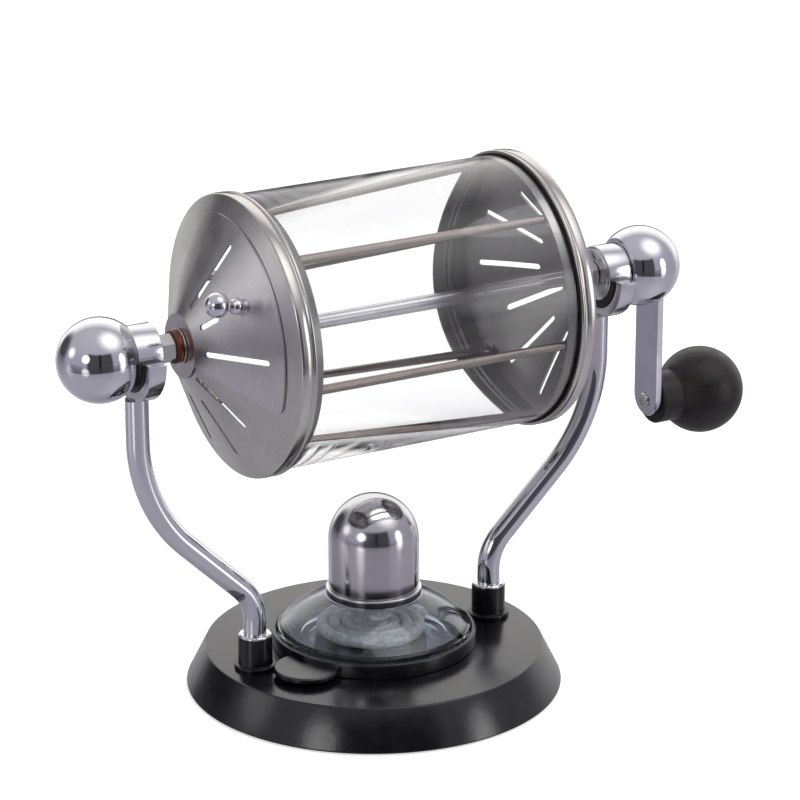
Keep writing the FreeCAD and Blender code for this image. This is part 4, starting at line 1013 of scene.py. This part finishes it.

# %% [markdown]
# Six rods run from cone to cone and stir the beans as the drum turns. They're plain bar in the plated
# finish, given a darker and warmer tone as a painted reflection of the brownish dark they show.

# %% Stirring rods
for index in range(1, 7):
    rod_low, rod_high = span(f"stir_rod_{index}")
    rod_y, rod_z = (rod_low[1] + rod_high[1]) / 2, (rod_low[2] + rod_high[2]) / 2
    rod_r = half_depth(f"stir_rod_{index}")
    start, end = along_axle(f"stir_rod_{index}")
    profile = rounded(
        [(start, 0), (start, rod_r, 0.3 * MM), (end, rod_r, 0.3 * MM), (end, 0)], closed=False)
    grid = around_x(profile, full_turn(32), z=rod_z) + [0, rod_y, 0]
    rod = solid(f"drawn_rod_{index}", [(grid, True, False)], "drum", [f"stir_rod_{index}"])
    finish(rod, "rod_steel")

# %% [markdown]
# The axle goes through the whole drum. It is turned down to a thinner stud at each end, where the
# balls are screwed on.

# %% Axle
AXLE_R = 3 * MM
STUD_R = 2.5 * MM
stud_end = along_axle("axle")[1]
ball_flat = reach_out("left_ball")[0]
axle = turned_x("drum_axle", [
    (-stud_end, 0), (-stud_end, STUD_R, 0.3 * MM), (-ball_flat, STUD_R), (-ball_flat, AXLE_R, 0.2 * MM),
    (ball_flat, AXLE_R, 0.2 * MM), (ball_flat, STUD_R), (stud_end, STUD_R, 0.3 * MM), (stud_end, 0),
], "drum", ["axle"], 48, closed=False)
finish(axle, "axle_steel")

# %% [markdown]
# What's threaded on the axle outside each cone is small, but it tells how the thing is put together:
# a bush or washer, a copper washer, a fibre washer and a lock nut. A nut is a hexagon cut by a cone:
# its radius is the smaller of the hexagon's and the chamfer's, which gives the curved bright edges.


# %% Washers and nuts
# A chamfer's cone starts at a share of the width across flats; FAR_OUT is a radius past any nut.
CHAMFER_START = 0.48
CHAMFER_SLOPE = math.tan(math.radians(60))
FAR_OUT = 1.0
WASHER_R = 6.3 * MM
HUB_WASHER_R = 7 * MM
FLANGE_R = 7.6 * MM
FLANGE = 1.5 * MM
FLANGE_BORE = HUB_BORE + 0.01 * MM
HUB_NUT_FLATS = 12 * MM
LOCK_NUT_FLATS = 10 * MM
BUSH_R = 5 * MM
BUSH_REACH = 0.3 * MM


def nut_grid(start, end, flats, sign, chamfer_at=(True, True), steps=96):
    """A nut round the drum's axle: r = min(hexagon, cone that meets the flats at either face)."""
    turn = full_turn(steps)
    corner_turn = (turn + math.pi / 6) % (math.pi / 3) - math.pi / 6
    hexagon = flats / 2 / np.cos(corner_turn)
    along = start + (end - start) * spread(25)
    limit = np.full(len(along), FAR_OUT)
    for chamfered, depth in zip(chamfer_at, (along - start, end - along)):
        if chamfered:
            limit = np.minimum(limit, flats * CHAMFER_START + depth * CHAMFER_SLOPE)
    bore = np.full((steps, 1), HUB_BORE)
    radius = np.concatenate([bore, np.minimum(hexagon[:, None], limit[None, :]), bore], 1)
    along = np.concatenate([[start], along, [end]])
    return np.stack([
        DRUM_X + sign * along[None, :] + 0 * radius, -radius * np.cos(turn)[:, None],
        AXIS_Z + radius * np.sin(turn)[:, None]], -1)


def ring_corners(start, end, inner, outer, edge):
    """The section of a washer with rounded outer edges."""
    return [(start, inner), (start, outer, edge), (end, outer, edge), (end, inner)]


def make_stack(side):
    """The nut inside a cone, then the washers and the lock nut outside it."""
    sign = SIDES[side]
    start, end = reach_out(f"inner_hub_nut_{side}")
    flange = rounded(ring_corners(end - FLANGE, end, FLANGE_BORE, FLANGE_R, 0.4 * MM))
    flange_grid = around_x(flange * [sign, 1], full_turn(96))
    hexagon = nut_grid(start, end - FLANGE, HUB_NUT_FLATS, sign, (True, False))
    patches = [(flange_grid, True, True), (hexagon, True, True)]
    finish(solid(f"flange_nut_{side}", patches, "drum", [f"inner_hub_nut_{side}"]), "zinc_steel")
    for kind in ("copper", "fibre"):
        source = f"{kind}_washer_{side}"
        corners = ring_corners(*reach_out(source), HUB_BORE, WASHER_R, 0.35 * MM)
        finish(turned_x(f"{kind}_ring_{side}", corners, "drum", [source], 96, side=sign), kind)
    nut = nut_grid(*reach_out(f"lock_nut_{side}"), LOCK_NUT_FLATS, sign)
    patches = [(nut, True, True)]
    finish(solid(f"hexagon_nut_{side}", patches, "drum", [f"lock_nut_{side}"]), "washer_steel")


for side in SIDES:
    make_stack(side)
hub = reach_out("right_end_cap")[1]
copper_start = reach_out("copper_washer_left")[0]
washer_corners = ring_corners(hub, copper_start, HUB_BORE, HUB_WASHER_R, 0.5 * MM)
finish(turned_x("thick_washer", washer_corners, "drum", ["hub_washer"], 128), "washer_steel")
bush_step = door_height + BUSH_REACH
bush = turned_x("flanged_bush", [
    (hub, HUB_BORE), (hub, BUSH_R), (bush_step, BUSH_R), (bush_step, HUB_WASHER_R, 0.3 * MM),
    (copper_start, HUB_WASHER_R, 0.3 * MM), (copper_start, HUB_BORE),
], "drum", ["door_bush"], 128, side=-1)
finish(bush, "washer_steel")

# %% [markdown]
# A polished ball closes each end of the axle. It has a flat towards the bearing, and the right one is
# slotted from below to take the crank arm. The slot is a true cut, made by an exact boolean with a
# box, because here the edge where the arm goes in is clean and seen from close by.

# %% Balls
BALL_R = 16.25 * MM
STUD_GAP = 0.3 * MM
FLAT_ROUND = 0.4 * MM
SLOT_GAP = 0.1 * MM
BOX_FACES = [(0, 1, 3, 2), (4, 6, 7, 5), (0, 4, 5, 1), (2, 3, 7, 6), (0, 2, 6, 4), (1, 5, 7, 3)]


def ball_profile(name):
    """A ball with a flat: (along, radius) from the bore, over the flat, round to the far pole."""
    start, end = reach_out(name)
    centre = end - BALL_R
    turn = math.degrees(math.acos((centre - start) / BALL_R))
    arc = arc_points((centre, 0), BALL_R, 180 - turn, 0, 65)
    edge = rounded([(start, STUD_R), (*arc[0], FLAT_ROUND), tuple(arc[3])], closed=False)
    hole_end = stud_end + STUD_GAP
    return np.concatenate([edge, arc[4:], [[hole_end, 0], [hole_end, STUD_R]]])


def cut_box(piece, low, high):
    """Cuts a box out of a piece with an exact boolean, and keeps the result as its mesh."""
    cutter = bpy.data.objects.new("slot_cutter", bpy.data.meshes.new("slot_cutter"))
    bpy.context.scene.collection.objects.link(cutter)
    corners = [(x, y, z) for x in (low[0], high[0]) for y in (low[1], high[1]) for z in (low[2], high[2])]
    cutter.data.from_pydata(corners, [], BOX_FACES)
    cut = piece.modifiers.new("slot", "BOOLEAN")
    cut.operation = "DIFFERENCE"
    cut.solver = "EXACT"
    cut.object = cutter
    shown = piece.evaluated_get(bpy.context.evaluated_depsgraph_get())
    piece.data = bpy.data.meshes.new_from_object(shown)
    piece.modifiers.clear()
    bpy.data.objects.remove(cutter)
    piece.data.set_sharp_from_angle(angle=math.radians(32))
    print(piece.name + ":", len(piece.data.polygons), "faces after the slot is cut")


left_ball = turned_x("end_ball", ball_profile("left_ball"), "drum", ["left_ball"], 128, side=-1)
finish(left_ball, "chrome")
crank_ball = turned_x("crank_end_ball", ball_profile("crank_ball"), "drum", ["crank_ball"], 128)
finish(crank_ball, "chrome")
arm_low, arm_high = span("crank_arm")
slot_low = arm_low - SLOT_GAP
slot_low[2] = AXIS_Z - 2 * BALL_R
cut_box(crank_ball, slot_low, arm_high + SLOT_GAP)

# %% [markdown]
# The crank arm is a flat bar with one round end and a small bevel all round. Its outline is a loop of
# points; the bevel is the same loop drawn in a little, and each flat face is filled from the loop to
# the bar's middle line.


# %% Crank arm
ARM_BEVEL = 0.45 * MM


def flat_bar(outline, spine, x_low, x_high, bevel):
    """A bar from an outline (y, z) and the point of the middle line next to each of its points:
    loops go face, inset, edge, edge, inset, face; the inset moves each point along its own normal."""
    ahead = np.roll(outline, -1, 0) - np.roll(outline, 1, 0)
    normal = np.stack([ahead[:, 1], -ahead[:, 0]], 1) / np.linalg.norm(ahead, axis=1)[:, None]
    inset = outline - bevel * normal
    rows = [(x_low, spine), (x_low, inset), (x_low + bevel, outline),
            (x_high - bevel, outline), (x_high, inset), (x_high, spine)]
    grid = np.stack([np.column_stack([np.full(len(line), x), line]) for x, line in rows])
    return (grid, False, True)


arm_half = half_depth("crank_arm")
arm_top = arm_high[2]
round_z = arm_low[2] + arm_half
going_up = np.linspace(round_z, arm_top, 9)[1:]
across_top = arm_half * np.linspace(1, -1, 9)[1:]
going_down = going_up[-2::-1]
outline = np.concatenate([
    arc_points((0, round_z), arm_half, -180, 0, 49),
    np.column_stack([np.full(len(going_up), arm_half), going_up]),
    np.column_stack([across_top, np.full(len(across_top), arm_top)]),
    np.column_stack([np.full(len(going_down), -arm_half), going_down]),
])
spine = np.column_stack([np.zeros(len(outline)), np.clip(outline[:, 1], round_z, arm_top - arm_half)])
bar = flat_bar(outline, spine, arm_low[0], arm_high[0], ARM_BEVEL)
finish(solid("crank_bar", [bar], "drum", ["crank_arm"]), "arm_steel")

# %% [markdown]
# The knob is a ball of dark resin with a short neck towards the arm. It turns on a shouldered rivet,
# whose head lies in a recess in the ball's far side and shows a shallow dimple.

# %% Knob and its rivet
knob_low, knob_high = span("crank_knob")
PIVOT_Z = (knob_low[2] + knob_high[2]) / 2
KNOB_R = (knob_high[2] - knob_low[2]) / 2
KNOB_MIDDLE = 154.6 * MM
KNOB_BORE = 2.55 * MM
NECK_R = 10.3 * MM
RECESS_R = 4.6 * MM
RECESS_DEPTH = 2.45 * MM
BLEND = 3
RIVET_R = 2.9 * MM
RIVET_ROUND = 0.7 * MM
SHANK_R = 2.1 * MM
PIN_R = 2.5 * MM
HEAD_R = 4.3 * MM
HEAD_GAP = 0.05 * MM
DIMPLE_DEPTH = 0.5 * MM
rivet_face, head_face = (corner[0] for corner in span("knob_spindle"))
recess_floor = head_face - RECESS_DEPTH
head_back = recess_floor + HEAD_GAP
dimple = head_face - DIMPLE_DEPTH
rivet = turned_x("shoulder_rivet", [
    (rivet_face, 0), (rivet_face, 2.3 * MM, 0.5 * MM), (rivet_face + RIVET_ROUND, RIVET_R, 0.3 * MM),
    (arm_low[0], RIVET_R), (arm_low[0], SHANK_R), (arm_high[0], SHANK_R), (arm_high[0], PIN_R),
    (head_back, PIN_R), (head_back, HEAD_R), (head_face, HEAD_R, 0.5 * MM),
    (head_face, 2.2 * MM, 0.1 * MM), (dimple, 1.9 * MM, 0.2 * MM), (dimple, 0),
], "drum", ["knob_spindle"], 64, x=0, z=PIVOT_Z, closed=False)
finish(rivet, "zinc_steel")
neck_end = KNOB_MIDDLE - math.sqrt(KNOB_R**2 - NECK_R**2)
neck_turn = 180 - math.degrees(math.asin(NECK_R / KNOB_R))
mouth_turn = math.degrees(math.asin(RECESS_R / KNOB_R))
mouth = KNOB_MIDDLE + math.sqrt(KNOB_R**2 - RECESS_R**2)
ball_arc = arc_points((KNOB_MIDDLE, 0), KNOB_R, neck_turn - BLEND, mouth_turn + BLEND, 65)
neck = rounded([
    (knob_low[0], KNOB_BORE), (knob_low[0], NECK_R, 0.9 * MM), (neck_end, NECK_R, 1.2 * MM),
    tuple(ball_arc[0])], closed=False)
recess = rounded([
    tuple(ball_arc[-1]), (mouth, RECESS_R, 0.5 * MM), (recess_floor, RECESS_R),
    (recess_floor, KNOB_BORE)], closed=False)
knob_profile = np.concatenate([neck[:-1], ball_arc, recess[1:]])
knob = turned_x("resin_ball_knob", knob_profile, "crank_knob", ["crank_knob"], 128, x=0, z=PIVOT_Z)
finish(knob, "knob_resin")

# %% [markdown]
# The lamp stands in the middle of the base: a black dish with a finger tab, and a low glass font with
# a wide neck. The tab is a crescent: part of a disc outside the dish, closed along the dish's wall.

# %% Lamp tray
TRAY_R = 40.6 * MM
TRAY_WALL = 1.7 * MM
TRAY_FLOOR = 1.5 * MM
TAB_REACH = 44 * MM
TAB_TURN = math.radians(204)
TAB_R = 13 * MM
TAB_LIFT = 1.4 * MM
TAB_THICK = 2.4 * MM
TAB_BEVEL = 0.6 * MM
TAB_SUNK = 0.8 * MM
tray_low, tray_high = span("lamp_tray")
tray_z = tray_low[2]
tray_height = tray_high[2] - tray_z
tray_inner = TRAY_R - TRAY_WALL
dish = rounded([
    (0, 0), (TRAY_R, 0, 0.6 * MM), (TRAY_R, tray_height, 0.6 * MM), (tray_inner, tray_height, 0.5 * MM),
    (tray_inner, TRAY_FLOOR, 0.8 * MM), (0, TRAY_FLOOR)], closed=False)
dish_grid = around_z(dish, full_turn(192), z=tray_z)
hidden = TRAY_R - TAB_SUNK
meet = math.acos((TAB_REACH**2 + TAB_R**2 - hidden**2) / (2 * TAB_REACH * TAB_R))
wall_turn = math.degrees(math.asin(TAB_R * math.sin(meet) / hidden))
outer_turn = 180 - math.degrees(meet)
tab_outline = np.concatenate([
    arc_points((TAB_REACH, 0), TAB_R, -outer_turn, outer_turn, 65),
    arc_points((0, 0), hidden, wall_turn, -wall_turn, 33)[1:-1],
])
tab_centre = np.broadcast_to([TAB_REACH + 1 * MM, 0], tab_outline.shape)
tab_grid, *wraps = flat_bar(tab_outline, tab_centre, TAB_LIFT, TAB_LIFT + TAB_THICK, TAB_BEVEL)
lift, across, deep = np.moveaxis(tab_grid, -1, 0)
tab_grid = np.stack([
    across * math.cos(TAB_TURN) - deep * math.sin(TAB_TURN),
    across * math.sin(TAB_TURN) + deep * math.cos(TAB_TURN), tray_z + lift], -1)
tray = solid("dish_with_tab", [(dish_grid, True, False), (tab_grid, *wraps)], "lamp", ["lamp_tray"])
finish(tray, "black_tray")

# %% [markdown]
# The font's outline is made of arcs through known points. Its wall is real, so light passes through
# glass, air and glass again, which gives the bright shoulder and the dark streaks.


# %% Glass font
def arc_between(start, end, radius, count):
    """Points of the arc of a radius from start to end that bulges to the right of that direction."""
    start, end = np.array(start), np.array(end)
    chord = end - start
    length = np.linalg.norm(chord)
    left = np.array([-chord[1], chord[0]]) / length
    centre = (start + end) / 2 + left * math.sqrt(radius**2 - (length / 2) ** 2)
    first, last = start - centre, end - centre
    turn = math.atan2(first[0] * last[1] - first[1] * last[0], first @ last)
    angles = math.atan2(first[1], first[0]) + np.linspace(0, turn, count)
    return centre + radius * np.stack([np.cos(angles), np.sin(angles)], 1)


FONT_FOOT_R = 33 * MM
FOOT_RECESS_R = 28 * MM
FOOT_RECESS = 0.5 * MM
BELLY_R, BELLY_Z = 38.3 * MM, 6 * MM
BELLY_ROUND = 6.6 * MM
SHOULDER_ROUND = 60 * MM
NECK_TOP_R, NECK_Z, LIP_Z = 19 * MM, 19.2 * MM, 21.1 * MM
FONT_WALL = 2.2 * MM
FONT_FLOOR = 2 * MM
font_low, font_high = span("lamp_font")
neck_inner = NECK_TOP_R - FONT_WALL
neck_start = NECK_Z - FONT_WALL / 3
belly_inner = (BELLY_R - FONT_WALL, BELLY_Z)
belly = arc_between((FONT_FOOT_R, 0), (BELLY_R, BELLY_Z), BELLY_ROUND, 15)
shoulder_end = (NECK_TOP_R + 0.6 * MM, NECK_Z - 0.6 * MM)
shoulder = arc_between((BELLY_R, BELLY_Z), shoulder_end, SHOULDER_ROUND, 33)
lip = rounded([
    tuple(shoulder[-1]), (NECK_TOP_R - 0.3 * MM, NECK_Z - 0.1 * MM, 0.4 * MM),
    (NECK_TOP_R, NECK_Z + 0.8 * MM, 0.4 * MM), (NECK_TOP_R, LIP_Z, 0.5 * MM),
    (neck_inner, LIP_Z, 0.4 * MM), (neck_inner, neck_start)], closed=False)[1:]
shoulder_inside = arc_between(belly_inner, (neck_inner, neck_start), SHOULDER_ROUND, 33)[::-1][1:]
floor_edge = (FONT_FOOT_R - FONT_WALL / 2, FONT_FLOOR)
belly_inside = arc_between(floor_edge, belly_inner, BELLY_ROUND, 15)[::-1][1:]
font_profile = np.concatenate([
    [[0, FOOT_RECESS], [FOOT_RECESS_R, FOOT_RECESS], [FOOT_RECESS_R + 1 * MM, 0]], belly, shoulder[1:],
    lip, shoulder_inside, belly_inside, [[0, FONT_FLOOR]]])
font = turned_z("glass_font", font_profile, "lamp", ["lamp_font"], 192, z=font_low[2], closed=False)
finish(font, "lamp_glass")

# %% [markdown]
# The burner is a plated plug that sits in the font's neck, with a narrow tube for the wick.

# %% Burner
BURNER_R = 16.3 * MM
PLUG_R, PLUG_DEPTH = 16.5 * MM, 3 * MM
FLANGE_RIM_R, FLANGE_THICK = 19 * MM, 1 * MM
BURNER_HEIGHT = 3 * MM
TUBE_R, TUBE_HEIGHT = 4.4 * MM, 10 * MM
WICK_R = 3.6 * MM
burner = turned_z("plated_burner", [
    (WICK_R, -PLUG_DEPTH), (PLUG_R, -PLUG_DEPTH), (PLUG_R, 0), (FLANGE_RIM_R, 0, 0.2 * MM),
    (FLANGE_RIM_R, FLANGE_THICK, 0.4 * MM), (BURNER_R, FLANGE_THICK), (BURNER_R, BURNER_HEIGHT, 0.8 * MM),
    (TUBE_R, BURNER_HEIGHT, 0.6 * MM), (TUBE_R, TUBE_HEIGHT, 0.3 * MM), (WICK_R, TUBE_HEIGHT, 0.2 * MM),
], "lamp", ["burner_collar"], 128, z=font_high[2])
finish(burner, "burner_plate")

# %% [markdown]
# The wick is a braided cord. It stands up in the burner's tube, and its spare end lies coiled on the
# font's floor: a circle carried along a flat spiral, its radius dented by three strands that wind
# round it as it goes.

# %% Wick
COIL_R, COIL_TURNS = 25 * MM, 4.2
ROPE_R = 2.5 * MM
ROPE_PACKING = 0.97
STRANDS = 3
STRAND_DENT = 0.10
STRAND_LENGTH = 3.2 * MM
FLUTES = 8
FLUTE_DENT = 0.05
wick_low, wick_high = span("wick")
rope_z = wick_low[2] + ROPE_R
upright_turn = full_turn(96)
upright = rounded([
    (0, rope_z), (WICK_R, rope_z), (WICK_R, wick_high[2], 1.2 * MM), (0, wick_high[2])],
    steps=8, closed=False)
upright_grid = around_z(upright, upright_turn)
upright_grid[..., :2] *= (1 - FLUTE_DENT * np.abs(np.sin(upright_turn * FLUTES)))[:, None, None]
coil_turn = np.linspace(0, COIL_TURNS * 2 * math.pi, 400)
coil_r = COIL_R - ROPE_R - coil_turn / (2 * math.pi) * 2 * ROPE_R * ROPE_PACKING
rope_turn = full_turn(24)[:, None]
strands = np.abs(np.sin(STRANDS * rope_turn + coil_turn * coil_r / STRAND_LENGTH))
rope_r = ROPE_R * (1 - STRAND_DENT * strands)
out = coil_r + rope_r * np.cos(rope_turn)
rope = np.stack([
    out * np.cos(coil_turn), out * np.sin(coil_turn), rope_z + rope_r * np.sin(rope_turn)], -1)
patches = [(upright_grid, True, False), (rope, True, False), end_face(rope[:, 0]), end_face(rope[:, -1])]
finish(solid("braided_wick", patches, "lamp", ["wick"]), "wick_cotton")

# %% [markdown]
# The snuffer cap is spun from thin sheet: a straight side, a half-round dome, and an edge rolled
# round at the foot. It drops over the burner and lifts straight off.

# %% Snuffer cap
CAP_SHEET = 1 * MM
FOOT_ROUND = 0.45 * MM
cap_low, cap_high = span("snuffer_cap")
cap_r = cap_high[0]
cap_side = cap_high[2] - cap_low[2] - cap_r
cap_inner = cap_r - CAP_SHEET
foot = rounded([
    (cap_inner, cap_side * 0.9), (cap_inner, 0, FOOT_ROUND), (cap_r, 0, FOOT_ROUND),
    (cap_r, cap_side * 0.9)], closed=False)
dome = arc_points((0, cap_side), cap_r, 0, 90, 41)
dome_inside = arc_points((0, cap_side), cap_inner, 90, 0, 33)
cap_profile = np.concatenate([foot, dome, dome_inside, foot[:1]])
cap = turned_z("domed_cap", cap_profile, "snuffer_cap", ["snuffer_cap"], 160, z=cap_low[2], closed=False)
finish(cap, "cap_steel")

# %% [markdown]
# What stays of the construction is under the base, where the posts are bolted on: two nuts and two washers,
# plain solids that only need a finish. Then the object is complete.

# %% Fixings under the base
for side in SIDES:
    for kind in ("post_nut", "post_washer"):
        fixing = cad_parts[f"{kind}_{side}"]
        for index in range(len(fixing.data.materials)):
            fixing.data.materials[index] = FINISHES["zinc_steel"]
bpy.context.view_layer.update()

# %% [markdown]
# Polished metal shows the room, so the room is part of its look. To the camera, and through glass,
# all of it has to be white. These helpers tell which rays those are, and draw simple things by their
# direction: a band between two directions, and a round patch with a soft edge.


# %% Rays and directions
VIEW_TURN = math.radians(29.68)
TO_RIGHT = (math.cos(VIEW_TURN), -math.sin(VIEW_TURN), 0)
AWAY = (math.sin(VIEW_TURN), math.cos(VIEW_TURN), 0)


def product(tree, *values):
    """The product of several values."""
    total = values[0]
    for value in values[1:]:
        total = calculate(tree, "MULTIPLY", total, value)
    return total


def sees_white(tree):
    """1 for camera rays and for those that only went through glass, 0 for others."""
    path = node(tree, "LightPath").outputs
    bounced = calculate(tree, "ADD", path["Glossy Depth"], path["Diffuse Depth"])
    direct = calculate(tree, "LESS_THAN", bounced, 0.5)
    through = product(tree, path["Is Transmission Ray"], direct)
    return calculate(tree, "MAXIMUM", path["Is Camera Ray"], through)


def rise(tree, value, low, high):
    """0 below low, 1 above high and a straight line between; falls instead if low is the larger."""
    ends = (0.0, 1.0) if low < high else (1.0, 0.0)
    return ramp(tree, value, min(low, high), max(low, high), *ends)


def mix_color(tree, factor, first, second):
    """A mix of two colours, either of them a socket or a constant."""
    mixed = node(tree, "Mix", data_type="RGBA", i0=factor)
    for socket, color in ((mixed.inputs[6], first), (mixed.inputs[7], second)):
        if isinstance(color, bpy.types.NodeSocket):
            tree.links.new(color, socket)
        else:
            socket.default_value = (*color, 1)
    return mixed.outputs[2]


def soft_spot(tree, direction, middle, inner, outer, squeeze=1.0):
    """1 in the middle of a round patch seen in a direction, falling smoothly to 0 at its outside."""
    away = vector(tree, "MULTIPLY", vector(tree, "SUBTRACT", direction, middle), (1, 1, squeeze))
    return ramp(tree, vector(tree, "LENGTH", away), inner, outer, 1.0, 0.0, smooth=True)


def in_front(tree, direction, left, right, soft):
    """1 where a direction's angle from the front lies between left and right, in degrees; and how
    far the direction points to the back."""
    right_part = vector(tree, "DOT_PRODUCT", direction, TO_RIGHT)
    away_part = vector(tree, "DOT_PRODUCT", direction, AWAY)
    turn = calculate(tree, "ARCTAN2", right_part, calculate(tree, "MULTIPLY", away_part, -1.0))
    left, right, soft = (math.radians(angle) for angle in (left, right, soft))
    rises = rise(tree, turn, left - soft, left + soft)
    falls = rise(tree, turn, right + soft, right - soft)
    return product(tree, rises, falls), away_part


def show(tree, output, hidden, plain):
    """Gives a tree's output the plain shader for white rays and the hidden one for all others."""
    choose = node(tree, "MixShader", i0=sees_white(tree), i1=hidden.outputs[0], i2=plain.outputs[0])
    tree.links.new(choose.outputs[0], tree.nodes[output].inputs["Surface"])


# %% [markdown]
# The room is a grey studio with a touch of lilac, painted by direction in the world: a bright
# backdrop beyond the object with two dark patches in it, a dark gap in front with a black bar down
# it, and four soft lamps, the broadest overhead. Cards and walls could be built, but a painted
# surround stays out of the way of every camera.

# %% Surround
LILAC = (0.40, 0.39, 0.46)
CEILING = (0.54, 0.53, 0.56)
BACKDROP = (1.30, 1.28, 1.26)
DARK = (0.070, 0.070, 0.082)
BLACK = (0.012, 0.012, 0.016)
CEILING_FADE = (0.2, 1.0)
BACKDROP_FADE = (0.4, 0.75)
# A band's left and right side and its softness, in degrees from the front.
GAP_SIDES = (-28, 41, 2.5)
BAR_SIDES = (4, 10, 2)
GAP_TOP = (0.56, 0.48)
# A patch's direction, and how far from it the soft edge starts and ends. A lamp also has its squeeze
# in height and its level.
BEHIND_LEFT = ((-0.500, 0.850, 0.160), 0.22, 0.52)
BEYOND = ((0.465, 0.816, -0.344), 0.40, 0.62)
LAMPS = {
    "overhead": ((0.300, -0.405, 0.864), 0.04, 0.62, 1.0, 1.7),
    "left": ((-0.849, -0.440, 0.294), 0.10, 0.22, 1.0, 3.0),
    "front right": ((0.620, -0.767, 0.164), 0.08, 0.18, 0.62, 3.2),
    "back left": ((-0.880, 0.331, 0.321), 0.08, 0.26, 1.0, 1.3),
}
WARMTH = (1.0, 0.995, 0.99)
world = bpy.data.worlds.new("surround")
bpy.context.scene.world = world
world.use_nodes = True
tree = world.node_tree
direction = node(tree, "TexCoord").outputs["Generated"]
height = node(tree, "SeparateXYZ", Vector=direction).outputs["Z"]
low = rise(tree, height, *GAP_TOP)
gap, away_part = in_front(tree, direction, *GAP_SIDES)
bar, _ = in_front(tree, direction, *BAR_SIDES)
room = mix_color(tree, rise(tree, height, *CEILING_FADE), LILAC, CEILING)
room = mix_color(tree, rise(tree, away_part, *BACKDROP_FADE), room, BACKDROP)
room = mix_color(tree, soft_spot(tree, direction, *BEHIND_LEFT), room, DARK)
room = mix_color(tree, product(tree, gap, low), room, DARK)
room = mix_color(tree, product(tree, bar, low), room, BLACK)
room = mix_color(tree, soft_spot(tree, direction, *BEYOND), room, DARK)
for *patch, level in LAMPS.values():
    lamp_color = tuple(level * share for share in WARMTH)
    room = mix_color(tree, soft_spot(tree, direction, *patch), room, lamp_color)
background = tree.nodes["Background"]
tree.links.new(room, background.inputs["Color"])
show(tree, "World Output", background, node(tree, "Background", Color=(1, 1, 1, 1), Strength=1.0))
print("surround:", len(tree.nodes), "nodes,", len(LAMPS), "lamps:", ", ".join(LAMPS))

# %% [markdown]
# The floor takes the object's shadow. It is white to the camera. To everything else it is a grey
# glossy table that ends in the dark, so that the undersides of balls and bars show a table and its
# edge.

# %% Floor
FLOOR_SIZE = 6
FLOOR_Z = -0.3 * MM
FLOOR_WHITE = (0.80, 0.80, 0.80)
FLOOR_GLOW = 0.62
TABLE_GREY = (0.46, 0.45, 0.50)
TABLE_GLOSS = {"Roughness": 0.12, "IOR": 1.9}
TABLE_END = (0.52, 0.54)
TABLE_SIDES = (-75, 75, 1)
EYE = (0, 0, 0.13)
floor_look, tree, shader = new_material("floor", FLOOR_WHITE, 0.0, 0.9)
glow = node(tree, "Emission", Strength=FLOOR_GLOW)
lit = node(tree, "AddShader", i0=shader.outputs[0], i1=glow.outputs[0])
place = node(tree, "TexCoord").outputs["Object"]
sector, _ = in_front(tree, place, *TABLE_SIDES)
past_edge = product(tree, sector, rise(tree, vector(tree, "LENGTH", place), *TABLE_END))
table = mix_color(tree, past_edge, TABLE_GREY, DARK)
seen = vector(tree, "NORMALIZE", vector(tree, "SUBTRACT", place, EYE))
table = mix_color(tree, soft_spot(tree, seen, *BEYOND), table, DARK)
grey = node(tree, "BsdfPrincipled", Base_Color=table, **TABLE_GLOSS)
show(tree, "Material Output", grey, lit)
floor_mesh = bpy.data.meshes.new("floor")
corners = [(x * FLOOR_SIZE, y * FLOOR_SIZE, FLOOR_Z) for x, y in ((-1, -1), (1, -1), (1, 1), (-1, 1))]
floor_mesh.from_pydata(corners, [], [(0, 1, 2, 3)])
floor_mesh.materials.append(floor_look)
floor = bpy.data.objects.new("floor", floor_mesh)
bpy.context.scene.collection.objects.link(floor)
print("floor:", 2 * FLOOR_SIZE, "m across")

# %% [markdown]
# The lamps in the reflections are part of the surround. One real lamp overhead adds the light that
# falls on the floor and the black paint; it is kept out of reflections, where its disc would show.

# %% Lamp overhead
LAMP_SIZE = 0.8
LAMP_POWER = 3.2
LAMP_DISTANCE = 1.25
LAMP_DIRECTION = Vector((0.118, -0.279, 0.951))
light = bpy.data.lights.new("overhead", "AREA")
light.shape = "DISK"
light.size = LAMP_SIZE
light.energy = LAMP_POWER
overhead = bpy.data.objects.new("overhead", light)
middle = Vector(EYE)
overhead.location = middle + LAMP_DIRECTION * LAMP_DISTANCE
overhead.rotation_euler = (middle - overhead.location).to_track_quat("-Z", "Y").to_euler()
overhead.visible_glossy = False
bpy.context.scene.collection.objects.link(overhead)
print("lamp overhead at", tuple(round(part, 3) for part in overhead.location))

# %% [markdown]
# The camera stands a little above the drum's height, to the front left. A long lens keeps the two
# balls nearly the same size. Rays may bounce often, since metal faces metal through two layers of
# glass.

# %% Camera
CAMERA_PLACE = (-0.651, -1.142, 0.572)
LOOKS_AT = Vector((0.0135, 0.0025, 0.114))
LENS = 160.9
SENSOR = 36
FAR_CLIP = 30
BOUNCES = 32
camera_data = bpy.data.cameras.new("camera")
camera = bpy.data.objects.new("camera", camera_data)
bpy.context.scene.collection.objects.link(camera)
camera_data.lens = LENS
camera_data.sensor_width = SENSOR
camera_data.clip_end = FAR_CLIP
camera.location = CAMERA_PLACE
camera.rotation_euler = (LOOKS_AT - camera.location).to_track_quat("-Z", "Y").to_euler()
scene = bpy.context.scene
scene.camera = camera
scene.view_settings.view_transform = "Standard"
for limit in ("max_bounces", "glossy_bounces", "transmission_bounces"):
    setattr(scene.cycles, limit, BOUNCES)
print("camera:", LENS, "mm lens, looking at", tuple(round(part, 4) for part in LOOKS_AT))
